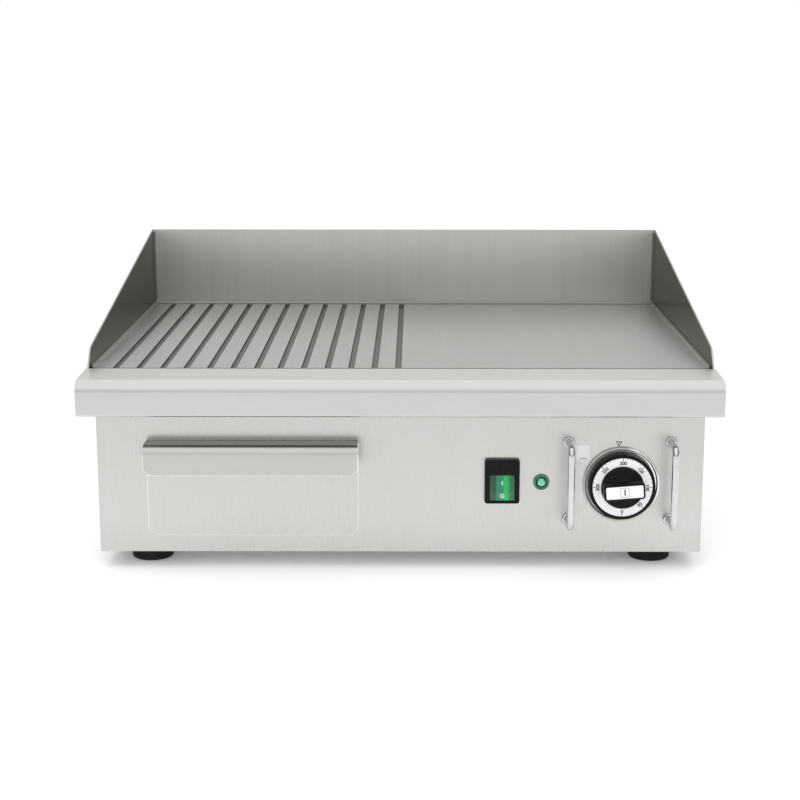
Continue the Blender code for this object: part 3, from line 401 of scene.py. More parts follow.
def ramped(tree_nodes, links, factor, stops):
    """A colour ramp through any number of (position, colour) stops."""
    ramp = tree_nodes.new("ShaderNodeValToRGB")
    while len(ramp.color_ramp.elements) < len(stops):
        ramp.color_ramp.elements.new(0.5)
    for element, (position, colour) in zip(ramp.color_ramp.elements, stops):
        element.position = position
        element.color = (*colour, 1.0)
    links.new(factor, ramp.inputs["Fac"])
    return ramp.outputs["Color"]


def calculated(tree_nodes, links, operation, one, other=None):
    step = tree_nodes.new("ShaderNodeMath")
    step.operation = operation
    links.new(one, step.inputs[0])
    if other:
        links.new(other, step.inputs[1])
    return step.outputs["Value"]


def product(tree_nodes, links, one, other, amount):
    mix = tree_nodes.new("ShaderNodeMix")
    mix.data_type = "RGBA"
    mix.blend_type = "MULTIPLY"
    mix.inputs["Factor"].default_value = amount
    links.new(one, mix.inputs["A"])
    links.new(other, mix.inputs["B"])
    return mix.outputs["Result"]


def bumped(tree_nodes, links, shader, height, strength, distance):
    bump = tree_nodes.new("ShaderNodeBump")
    bump.inputs["Strength"].default_value = strength
    bump.inputs["Distance"].default_value = distance
    links.new(height, bump.inputs["Height"])
    links.new(bump.outputs["Normal"], shader.inputs["Normal"])


ALONG = {"x": (5.0, 900.0, 900.0), "y": (900.0, 5.0, 900.0), "z": (900.0, 900.0, 5.0)}
BROAD = {"x": (0.8, 60.0, 60.0), "y": (60.0, 0.8, 60.0), "z": (60.0, 60.0, 0.8)}


def brushed_steel(name, colour, along, roughness, contrast=0.03, bump=0.05, band=0.97, stretch=0.0,
                  grazing=1.0):
    """Steel with fine lines and broad, faint bands along one axis, and soft marks from handling.

    With a stretch, the reflections spread across upright lines. Below 1, grazing dims the reflections at the
    flattest angles, a painted shade on steel seen edge-on.
    """
    made, tree, links, shader = new_material(name)
    if stretch:
        tangent = tree.new("ShaderNodeTangent")
        tangent.direction_type = "RADIAL"
        tangent.axis = "Z"
        links.new(tangent.outputs["Tangent"], shader.inputs["Tangent"])
        shader.inputs["Anisotropic"].default_value = stretch
    shader.inputs["Specular Tint"].default_value = (grazing, grazing, grazing * 0.97, 1.0)
    fine = grain(tree, links, ALONG[along], 3.0)
    broad = grain(tree, links, BROAD[along], 2.0)
    marks = grain(tree, links, (14.0, 14.0, 14.0), 5.0, 0.7)
    dark = tuple(c * (1 - contrast) for c in colour)
    light = tuple(min(1.0, c * (1 + contrast)) for c in colour)
    lines = between(tree, links, fine, dark, light, 0.3, 0.7)
    bands = between(tree, links, broad, (band, band, band), (1.0, 1.0, 1.0))
    hazed = between(tree, links, marks, (0.985, 0.982, 0.978), (1.0, 1.0, 1.0), 0.4, 0.6)
    streaked = product(tree, links, lines, bands, 1.0)
    links.new(product(tree, links, streaked, hazed, 1.0), shader.inputs["Base Color"])
    links.new(ranged(tree, links, fine, roughness - 0.02, roughness + 0.03), shader.inputs["Roughness"])
    shader.inputs["Metallic"].default_value = 1.0
    bumped(tree, links, shader, fine, bump, 0.0002)
    return made


def plain_metal(name, colour, roughness, spread=0.04, scale=60.0, bump=0.05):
    """Plated or drawn metal with faint clouding."""
    made, tree, links, shader = new_material(name)
    cloud = grain(tree, links, (scale, scale, scale), 5.0)
    fine = grain(tree, links, (scale * 20, scale * 20, scale * 20), 2.0)
    dark = tuple(c * 0.93 for c in colour)
    links.new(between(tree, links, cloud, dark, colour), shader.inputs["Base Color"])
    links.new(ranged(tree, links, cloud, roughness, roughness + spread), shader.inputs["Roughness"])
    shader.inputs["Metallic"].default_value = 1.0
    bumped(tree, links, shader, fine, bump, 0.0001)
    return made


def galvanised_steel():
    """Zinc spangle: angular crystals, each with its own grey and gloss."""
    made, tree, links, shader = new_material("galvanised_steel")
    place = tree.new("ShaderNodeTexCoord")
    cells = tree.new("ShaderNodeTexVoronoi")
    cells.inputs["Scale"].default_value = 130.0
    links.new(place.outputs["Object"], cells.inputs["Vector"])
    parts = tree.new("ShaderNodeSeparateColor")
    links.new(cells.outputs["Color"], parts.inputs["Color"])
    tint = between(tree, links, parts.outputs["Red"], (0.46, 0.48, 0.50), (0.60, 0.62, 0.63), 0.0, 1.0)
    links.new(tint, shader.inputs["Base Color"])
    links.new(ranged(tree, links, parts.outputs["Green"], 0.38, 0.58, (0, 1)), shader.inputs["Roughness"])
    shader.inputs["Metallic"].default_value = 1.0
    bumped(tree, links, shader, grain(tree, links, (300.0, 300.0, 300.0)), 0.08, 0.0002)
    return made


def moulded(name, dark, light, roughness, spread=0.12, bump=0.10, specular=0.5, scale=160.0, glow=0.0):
    """Plastic, rubber, print or ceramic: fine skin texture, with slow changes of tone and gloss."""
    made, tree, links, shader = new_material(name)
    skin = grain(tree, links, (scale * 12, scale * 12, scale * 12), 2.0)
    cloud = grain(tree, links, (scale, scale, scale), 4.0)
    tone = between(tree, links, cloud, dark, light)
    links.new(tone, shader.inputs["Base Color"])
    links.new(tone, shader.inputs["Emission Color"])
    # a glow above 0 is painted light: the part shines in its own tone though it is no lamp
    shader.inputs["Emission Strength"].default_value = glow
    links.new(ranged(tree, links, cloud, roughness, roughness + spread), shader.inputs["Roughness"])
    shader.inputs["Specular IOR Level"].default_value = specular
    bumped(tree, links, shader, skin, bump, 0.0001)
    return made


def rim_steel():
    """Satin ring with a painted highlight: brighter and glossier along its upper right arc."""
    made, tree, links, shader = new_material("rim_steel")
    place = tree.new("ShaderNodeTexCoord")
    centred = tree.new("ShaderNodeMapping")
    centred.inputs["Location"].default_value = -KNOB_AXIS
    split = tree.new("ShaderNodeSeparateXYZ")
    links.new(place.outputs["Object"], centred.inputs["Vector"])
    links.new(centred.outputs["Vector"], split.inputs["Vector"])
    # painted highlight: tone and gloss rise between these angles about the knob's axis
    angle = calculated(tree, links, "ARCTAN2", split.outputs["X"], split.outputs["Z"])
    begins = ranged(tree, links, angle, 0.0, 1.0, (0.12, 0.30))
    ends = ranged(tree, links, angle, 1.0, 0.0, (1.7, 2.6))
    painted_highlight = calculated(tree, links, "MULTIPLY", begins, ends)
    cloud = grain(tree, links, (400.0, 400.0, 400.0), 3.0)
    shade = between(tree, links, cloud, (0.94, 0.94, 0.94), (1.0, 1.0, 1.0))
    tone = between(tree, links, painted_highlight, (0.62, 0.615, 0.60), (0.97, 0.97, 0.96), 0.0, 1.0)
    links.new(product(tree, links, tone, shade, 1.0), shader.inputs["Base Color"])
    links.new(ranged(tree, links, painted_highlight, 0.46, 0.16, (0.0, 1.0)), shader.inputs["Roughness"])
    shader.inputs["Metallic"].default_value = 1.0
    bumped(tree, links, shader, cloud, 0.03, 0.0001)
    return made


def rocker_green():
    """Tinted plastic over a neon lamp: dark at the left, mottled in the middle, bright at the right."""
    made, tree, links, shader = new_material("rocker_green")
    place = tree.new("ShaderNodeTexCoord")
    split = tree.new("ShaderNodeSeparateXYZ")
    links.new(place.outputs["Object"], split.inputs["Vector"])
    across = ranged(tree, links, split.outputs["X"], 0.0, 1.0, ROCKER_X)
    stops = (
        (0.00, (0.012, 0.060, 0.036)), (0.24, (0.014, 0.070, 0.042)), (0.29, (0.018, 0.200, 0.100)),
        (0.52, (0.018, 0.200, 0.100)), (0.60, (0.008, 0.420, 0.110)), (0.72, (0.006, 0.360, 0.080)),
        (0.82, (0.006, 0.160, 0.050)), (1.00, (0.008, 0.090, 0.040)),
    )
    colour = ramped(tree, links, across, stops)
    speckle = grain(tree, links, (900.0, 900.0, 500.0), 3.0, 0.7)
    shade = between(tree, links, speckle, (0.55, 0.60, 0.60), (1.0, 1.0, 1.0), 0.38, 0.58)
    tinted = product(tree, links, colour, shade, 0.8)
    links.new(tinted, shader.inputs["Base Color"])
    links.new(tinted, shader.inputs["Emission Color"])
    shader.inputs["Emission Strength"].default_value = 0.35
    links.new(ranged(tree, links, speckle, 0.10, 0.22), shader.inputs["Roughness"])
    shader.inputs["Coat Weight"].default_value = 0.4
    shader.inputs["Coat Roughness"].default_value = 0.05
    return made


def lens_green(name, dark, light, glow):
    """Moulded green lens with fine prisms inside."""
    made, tree, links, shader = new_material(name)
    prisms = grain(tree, links, (1400.0, 1400.0, 1400.0), 2.0)
    tint = between(tree, links, prisms, dark, light, 0.4, 0.6)
    links.new(tint, shader.inputs["Base Color"])
    links.new(tint, shader.inputs["Emission Color"])
    shader.inputs["Emission Strength"].default_value = glow
    links.new(ranged(tree, links, prisms, 0.06, 0.16), shader.inputs["Roughness"])
    shader.inputs["Coat Weight"].default_value = 0.5
    shader.inputs["Coat Roughness"].default_value = 0.04
    bumped(tree, links, shader, prisms, 0.25, 0.0002)
    return made


def mineral_wool():
    made, tree, links, shader = new_material("mineral_wool")
    fibres = grain(tree, links, (260.0, 90.0, 900.0), 6.0, 0.8)
    tint = between(tree, links, fibres, (0.50, 0.47, 0.38), (0.80, 0.78, 0.70))
    links.new(tint, shader.inputs["Base Color"])
    links.new(ranged(tree, links, fibres, 0.85, 1.0), shader.inputs["Roughness"])
    bumped(tree, links, shader, fibres, 0.8, 0.002)
    return made


# ---- top ----
def make_apron(steel):
    """Rounded nose, flat top and the grease channel behind it, from one sheet, with end caps let in."""
    half = SHEET / 2
    wall = APRON_Y[0] + half
    top = APRON_Z[1] - half
    foot = APRON_Z[0] + half
    lip = SPLASH_Y[0] - GAP - half
    back = APRON_Y[1] - half
    floor = SPOUT_Z[1] + GAP + half
    fall = 0.002
    path = (
        (PANEL_FACE - 0.0025, foot), (wall, foot), (wall, top - fall), (lip, top), (lip, floor),
        (back, floor), (back, PLATE_TOP - 0.0012),
    )
    nose_radius = 0.0094
    sheet = prism(bent_sheet(path, SHEET, (0.0018, nose_radius, 0.0018, 0.0022, 0.0022), 12), "x", *APRON_X)
    apron = mesh_object("apron_and_channel", sheet)
    notches = []
    for side, end in zip((-1, 1), APRON_X):
        span = sorted((side * PLATE_X[1], end + side * 0.01))
        notches.append(block(span, (lip + half, APRON_Y[1] + 0.01), (APRON_Z[0] - 0.01, APRON_Z[1] + 0.02)))
    drain = prism(circle((middle(SPOUT_X), middle(SPOUT_Y)), 0.0045, 32), "z", floor - 0.01, floor + 0.004)
    boolean(apron, "DIFFERENCE", *notches, drain)
    settle(apron, steel, "housing", ["front_apron"], 0.00035)

    inner = nose_radius - half - 0.0001
    near, over, under = wall + half + 0.0001, top - fall - half - 0.0001, foot + half + 0.0001
    rear = lip - half - 0.0001
    outline = [(rear, under), (near, under)] + arc((near + inner, over - inner), inner, pi, pi / 2, 8)
    outline.append((rear, over + fall * 0.8))
    for name, end, side in (("left", APRON_X[0], 1), ("right", APRON_X[1], -1)):
        cap = prism(outline, "x", *sorted((end + side * 0.0004, end + side * 0.0016)))
        settle(mesh_object(f"apron_end_{name}", cap), steel, "housing", (), 0.0003)


def splash_outline():
    front = SPLASH_Y[0]
    slope = 0.176
    corner = Vector((-0.1465, REAR_Z[1] - slope * (REAR_Y[1] + 0.1465)))
    rear = SPLASH_Y[1]
    foot = Vector((front + 0.003, APRON_Z[1] - 0.001))
    towards = (corner - foot).normalized()
    turn = towards.angle(Vector((1.0, slope)).normalized())
    radius = 0.012
    centre = corner - towards * radius * tan(turn / 2) + Vector((towards.y, -towards.x)) * radius
    start = atan2(towards.x, -towards.y)
    return ([(front, SPLASH_Z[0]), (front, APRON_Z[1] - 0.003), tuple(foot)]
            + arc(centre, radius, start, start - turn, 14)
            + [(rear, REAR_Z[1] - slope * (REAR_Y[1] - rear)), (rear, SPLASH_Z[0])])


def make_side_splash(name, side, steel):
    outer = side * REAR_X[1]
    inner = outer - side * SPLASH_SHEET
    wall = mesh_object(f"side_guard_{name}", prism(splash_outline(), "x", *sorted((outer, inner))))
    fold = block(sorted((outer - side * 0.0005, side * (PANEL_X[1] + 0.0025))),
                 (SPLASH_Y[0] + 0.002, SPLASH_Y[1] - 0.006), (SPLASH_Z[0] + 0.0002, SPLASH_Z[0] + 0.0014))
    boolean(wall, "UNION", fold)
    settle(wall, steel, "housing", [f"splash_{name}"], 0.0004)


def make_rear_splash(steel):
    wall = REAR_Y[1] - SPLASH_SHEET / 2
    low = REAR_Z[0] + SPLASH_SHEET / 2
    path = ((REAR_Y[0], low), (wall, low), (wall, REAR_Z[1]))
    sheet = mesh_object("rear_guard", prism(bent_sheet(path, SPLASH_SHEET, (0.0016,)), "x", *REAR_X))
    notches = []
    for side in (-1, 1):
        span = sorted((side * PLATE_X[1], side * (REAR_X[1] + 0.01)))
        notches.append(block(span, (REAR_Y[0] - 0.01, REAR_Y[1] - SPLASH_SHEET), (REAR_Z[0] - 0.01, 0.150)))
    boolean(sheet, "DIFFERENCE", *notches)
    settle(sheet, steel, "housing", ["splash_rear"], 0.0004)


def ripple_bead(length, leg, pitch=0.0016):
    """A slightly rippled concave fillet along +X from the origin, in the corner of y = 0 and z = 0."""
    made = bmesh.new()
    count = int(length / pitch * 4)
    rings = []
    for i in range(count + 1):
        along = length * i / count
        reach = leg * (1 + 0.035 * sin(2 * pi * along / pitch) + 0.03 * sin(along * 190))
        curve = arc((-reach, reach), reach * 0.97, 0, -pi / 2, 5)
        section = [(0.0, 0.0), (0.0, reach)] + curve[1:-1] + [(-reach, 0.0)]
        rings.append([made.verts.new((along, y, z)) for y, z in section])
    for one, other in zip(rings, rings[1:]):
        for k in range(len(one)):
            j = (k + 1) % len(one)
            made.faces.new((one[k], one[j], other[j], other[k]))
    made.faces.new(rings[0])
    made.faces.new(rings[-1][::-1])
    return made


def make_weld_beads(steel):
    """Fillet welds where the hotplate meets the guards, and down the guards' inner corners."""
    rear = PLATE_Y[1]
    depth = rear - PLATE_Y[0]
    width = PLATE_X[1] - PLATE_X[0]
    leg = BEAD_LEG * 0.7
    along_rear = moved(ripple_bead(width, leg), PLATE_X[0], rear, PLATE_TOP)
    right = moved(swung(ripple_bead(depth, leg), -pi / 2, "Z"), PLATE_X[1], rear, PLATE_TOP)
    left = moved(swung(ripple_bead(depth, leg), pi / 2, "Z"), PLATE_X[0], PLATE_Y[0], PLATE_TOP)
    bead = mesh_object("hotplate_weld_bead", merged(along_rear, right, left))
    settle(bead, steel, "housing")
    height = REAR_Z[1] - PLATE_TOP - 0.007
    for name, x, turn in (("left", PLATE_X[0], pi), ("right", PLATE_X[1], -pi / 2)):
        upright = swung(ripple_bead(height, 0.0016, 0.0012), -pi / 2, "Y")
        upright = swung(upright, turn, "Z")
        corner = mesh_object(f"corner_weld_{name}", moved(upright, x, rear, PLATE_TOP + 0.004))
        settle(corner, steel, "housing")


def groove(centre, half, depth, soft):
    low = PLATE_TOP - depth
    lip = 0.0003
    return ([(centre - half - lip, PLATE_TOP), (centre - half, PLATE_TOP - lip)]
            + arc((centre - half + soft, low + soft), soft, pi, 3 * pi / 2, 6)
            + arc((centre + half - soft, low + soft), soft, -pi / 2, 0, 6)
            + [(centre + half, PLATE_TOP - lip), (centre + half + lip, PLATE_TOP)])


def make_hotplate(steel, groove_steel):
    """The plate with its ribbed left half, and the four studs below that hold the clamps."""
    thick = 0.008
    low = PLATE_TOP - thick
    outline = [(PLATE_X[1], low), (PLATE_X[0], low), (PLATE_X[0], PLATE_TOP)]
    count, first, pitch = 13, -0.252, 0.0208
    for i in range(count):
        outline += groove(first + i * pitch, 0.0026, 0.0026, 0.0011)
    outline.append((PLATE_X[1], PLATE_TOP))
    plate = mesh_object("hotplate", prism(outline, "y", *PLATE_Y))
    studs = []
    for nut in ("front_left", "front_right", "rear_left", "rear_right"):
        x, y, _ = spans(f"clamp_nut_{nut}")
        stud = ((0, PLATE_Z[0]), (0.0026, PLATE_Z[0]), (0.003, PLATE_Z[0] + 0.0005), (0.003, low + 0.002),
                (0, low + 0.002))
        studs.append(moved(turned(stud, 24), middle(x), middle(y)))
    boolean(plate, "UNION", *studs)
    settle(plate, steel, "housing", ["griddle_plate"])
    plate.data.materials.append(groove_steel)
    floor = PLATE_TOP - 0.0002
    for face in plate.data.polygons:
        inside = low + 0.001 < face.center.z < floor and abs(face.center.x) < PLATE_X[1] - 0.001
        if inside and abs(face.normal.y) < 0.5:
            face.material_index = 1


# ---- drawer ----
def lower_corner(x, z, radius, side, y):
    """What is cut away to round a lower corner that ends at x."""
    over = 0.004
    centre = (x - side * radius, z + radius)
    start, end = (0, -pi / 2) if side > 0 else (pi, 3 * pi / 2)
    outline = arc(centre, radius, start, end, 14)
    outline += [(centre[0], z - over), (x + side * over, z - over), (x + side * over, centre[1])]
    return prism(outline, "y", *y)


def make_drawer_front(steel, shaded_pull_steel, shaded_ledge_steel, edge_highlight_metal):
    """The plate that closes the opening, with its top edge rolled forward and down as a finger pull, whose
    top is painted dark as shade under the apron.
    """
    half = SHEET / 2
    face = DRAWER_Y[1] - half
    reach = DRAWER_Y[0] + half
    top = DRAWER_Z[1] - half
    lip = DRAWER_Z[1] - 0.026
    path = ((face, DRAWER_Z[0]), (face, top), (reach, top), (reach, lip))
    sheet = prism(bent_sheet(path, SHEET, (0.0014, 0.0075), 14), "x", *DRAWER_X)
    front = mesh_object("drawer_face_and_pull", sheet)
    cutters = []
    for x, side in ((DRAWER_X[0], -1), (DRAWER_X[1], 1)):
        cutters.append(lower_corner(x, DRAWER_Z[0], 0.010, side, (face - 0.003, face + 0.005)))
        cutters.append(lower_corner(x, lip, 0.0085, side, (reach - 0.005, reach + 0.003)))
    boolean(front, "DIFFERENCE", *cutters)
    # the bevels of the drawer front carry a painted highlight
    settle(front, steel, "drawer", ["drawer_front"], 0.0005, edge_highlight_metal)
    front.data.materials.append(shaded_pull_steel)
    front.data.materials.append(shaded_ledge_steel)
    # the pull's front faces take a slightly darker copy of the face steel: painted shade
    for part in front.data.polygons:
        if part.center.y < face - 0.002:
            # upward faces of the pull take the dark ledge steel: painted shade under the apron
            part.material_index = 3 if part.normal.z > 0.75 else 2


def make_tray(steel):
    """The tray with rounded corners inside and out and a hem turned in along its rim."""
    wall = 0.0010
    hem = 0.0055
    outer = prism(rounded_rectangle(TRAY_X, TRAY_Y, 0.003), "z", *TRAY_Z)
    tray = mesh_object("drip_tray", outer)
    inside_x = (TRAY_X[0] + wall, TRAY_X[1] - wall)
    inside_y = (TRAY_Y[0] + wall, TRAY_Y[1] - wall)
    rim_x = (inside_x[0] + wall, inside_x[1] - wall)
    rim_y = (inside_y[0] + wall, inside_y[1] - wall)
    hollow = prism(rounded_rectangle(inside_x, inside_y, 0.002), "z", TRAY_Z[0] + wall, TRAY_Z[1] - hem)
    mouth = prism(rounded_rectangle(rim_x, rim_y, 0.0012), "z", TRAY_Z[1] - hem - 0.001, TRAY_Z[1] + 0.01)
    boolean(tray, "DIFFERENCE", hollow, mouth)
    settle(tray, steel, "drawer", ["drawer_tray"], 0.0003)


# ---- controls ----
def make_switch(plastic, terminal_steel, green, ink):
    """A tall snap-in bezel with the rocker in its lower part, tabs behind, and the marks on the rocker."""
    x, z = SWITCH_X, SWITCH_Z
    centre_x, centre_z = middle(x), middle(z)
    face = SWITCH_Y[0]
    bezel = mesh_object("switch_bezel", prism(rounded_rectangle(x, z, 0.0022), "y", face, PANEL_FACE - GAP))
    soften(bezel, 0.0008, 4)
    rear = block((centre_x - 0.0130, centre_x + 0.0130), (PANEL_FACE - 0.002, -0.1700),
                 (centre_z - 0.0182, centre_z + 0.0182))
    boolean(bezel, "UNION", rear)
    well = 0.0117
    half = ROCKER_X[1] - ROCKER_AXIS.x + 0.0004
    hollow = block((ROCKER_AXIS.x - half, ROCKER_AXIS.x + half), (face - 0.003, ROCKER_AXIS.y + well),
                   (ROCKER_AXIS.z - well, ROCKER_AXIS.z + well))
    boolean(bezel, "DIFFERENCE", hollow)
    settle(bezel, plastic, "housing", ["switch_housing"])

    tabs = []
    for tab_x in (centre_x - 0.0065, centre_x + 0.0065):
        for tab_z in (centre_z - 0.010, centre_z + 0.010):
            tabs.append(block((tab_x - 0.0004, tab_x + 0.0004), (-0.1699, SWITCH_Y[1]),
                              (tab_z - 0.00315, tab_z + 0.00315)))
    settle(mesh_object("switch_tabs", merged(*tabs)), terminal_steel, "housing", (), 0.0002)

    radius, crown, corner = 0.0113, 0.0036, radians(16)
    rest_tilt = radians(9)
    upper = pi / 2 + corner
    ends = arc((0, 0), radius, upper, -upper, 28)
    swell = [(-crown, -0.007), (-crown - 0.0002, -0.003), (-crown - 0.0002, 0.003), (-crown, 0.007)]
    half_w = ROCKER_X[1] - ROCKER_AXIS.x
    rocker = mesh_object("rocker", prism(ends + swell, "x", -half_w, half_w))
    cuts = []
    for side in (-1, 1):
        leg = 0.0024
        edge, top = side * (half_w + 0.001), radius + 0.001
        outline = ((edge, top), (edge - side * (leg + 0.001), top), (edge, top - leg - 0.001))
        cuts.append(prism(outline, "y", -0.006, 0.0))
    boolean(rocker, "DIFFERENCE", *cuts)
    place = Matrix.Translation(ROCKER_AXIS) @ Matrix.Rotation(-rest_tilt, 4, "X")
    rocker.data.transform(place)
    settle(rocker, green, "rocker", ["switch_rocker"], 0.0005)

    front = -crown - 0.0002
    stroke = rounded_rectangle((-0.00055, 0.00055), (0.0024, 0.0060), 0.0004, 3)
    bar = prism(stroke, "y", front - 0.00025, front)
    ring_profile = ((0.0010, -front - 0.0002), (0.0019, -front - 0.0002), (0.0019, -front + 0.00025),
                    (0.0010, -front + 0.00025))
    ring = moved(turned(ring_profile, 32, "y"), 0, 0, -0.0068)
    marks = mesh_object("rocker_marks", merged(bar, ring))
    marks.data.transform(place)
    settle(marks, ink, "rocker")


def make_lamp(green, bright_green, plastic):
    """Flanged lens: a green rim, a black ring that paints the shade in its groove, and a bright dome."""
    x, z = middle(LAMP_X), middle(LAMP_Z)
    face = -PANEL_FACE + GAP
    rim = (
        (0.0036, face - 0.0066), (0.0049, face - 0.004), (0.0049, face), (0.0066, face),
        (0.0069, face + 0.0003), (0.0070, face + 0.0008), (0.0068, face + 0.0015), (0.0062, face + 0.0019),
        (0.0053, face + 0.0020), (0.0047, face + 0.0017), (0.0046, face + 0.0010), (0.0046, face + 0.0004),
        (0.0036, face + 0.0004),
    )
    lens = mesh_object("lamp_rim", moved(turned(rim, 64, "y"), x, 0, z))
    settle(lens, green, "housing", ["pilot_lamp_lens"])
    # painted shade: a black ring laid in the groove between the rim and the dome
    low, high = face + 0.00045, face + 0.0009
    groove_ring = ((0.0036, low), (0.0046, low), (0.00455, high), (0.0036, high))
    ring = mesh_object("lamp_groove_shade", moved(turned(groove_ring, 64, "y"), x, 0, z))
    settle(ring, plastic, "housing")
    dome = [(0.0, face - 0.0064), (0.0034, face - 0.0064), (0.0035, face + 0.0016)]
    dome += domed(0.0035, face + 0.0016, 0.0030, 9)
    dome.append((0.0, face + 0.0046))
    made = mesh_object("lamp_dome", moved(turned(tuple(dome), 48, "y"), x, 0, z))
    settle(made, bright_green, "housing")


def make_escutcheon(satin):
    """A pressed ring with a rolled rim round the knob."""
    face = -PANEL_FACE + GAP
    edge = RIM_X[1] - KNOB_AXIS.x
    roll = 0.0012
    rolled = arc((edge - roll, face + 0.0032 - roll), roll, 0, pi, 12)
    profile = [(0.0110, face), (edge - 0.0004, face), (edge, face + 0.0008)] + rolled
    profile += [(edge - 2 * roll - 0.0002, face + 0.0010), (0.0110, face + 0.0010)]
    ring = mesh_object("knob_rim", moved(turned(profile, 128, "y"), KNOB_AXIS.x, 0, KNOB_AXIS.z))
    settle(ring, satin, "housing", ["knob_escutcheon"])


def make_blank_label(film, ink):
    """A small blank label at the upper left of the knob, with a thin dark line along its foot."""
    x = (KNOB_AXIS.x - 0.0388, KNOB_AXIS.x - 0.0272)
    z = (KNOB_AXIS.z + 0.0212, KNOB_AXIS.z + 0.0344)
    outline = rounded_rectangle(x, z, 0.0026)
    label = mesh_object("blank_label", prism(outline, "y", PANEL_FACE - 0.00008, PANEL_FACE + 0.0002))
    settle(label, film, "housing")
    line = rounded_rectangle((x[0] + 0.0026, x[1] - 0.0026), (z[0] + 0.0012, z[0] + 0.0017), 0.0002, 3)
    mark = mesh_object("label_line", prism(line, "y", PANEL_FACE - 0.00014, PANEL_FACE))
    settle(mark, ink, "housing")


def make_pointer_mark(ink):
    """A small open triangle printed on the panel above the knob."""
    size, line = 0.0021, 0.00065
    centre_z = RIM_Z[1] + 0.0028
    shapes = []
    corners = [(0.0, -size * 0.9), (size, size * 0.8), (-size, size * 0.8)]
    for (x0, z0), (x1, z1) in zip(corners, corners[1:] + corners[:1]):
        run = Vector((x1 - x0, z1 - z0)).normalized()
        side = Vector((-run.y, run.x)) * line / 2
        points = [(x0 + side.x - run.x * line / 2, z0 + side.y - run.y * line / 2),
                  (x0 - side.x - run.x * line / 2, z0 - side.y - run.y * line / 2),
                  (x1 - side.x + run.x * line / 2, z1 - side.y + run.y * line / 2),
                  (x1 + side.x + run.x * line / 2, z1 + side.y + run.y * line / 2)]
        shapes.append(prism(points, "y", PANEL_FACE - 0.00006, PANEL_FACE + 0.0002))
    mark = mesh_object("pointer_mark", moved(merged(*shapes), KNOB_AXIS.x - 0.0026, 0, centre_z))
    settle(mark, ink, "housing")


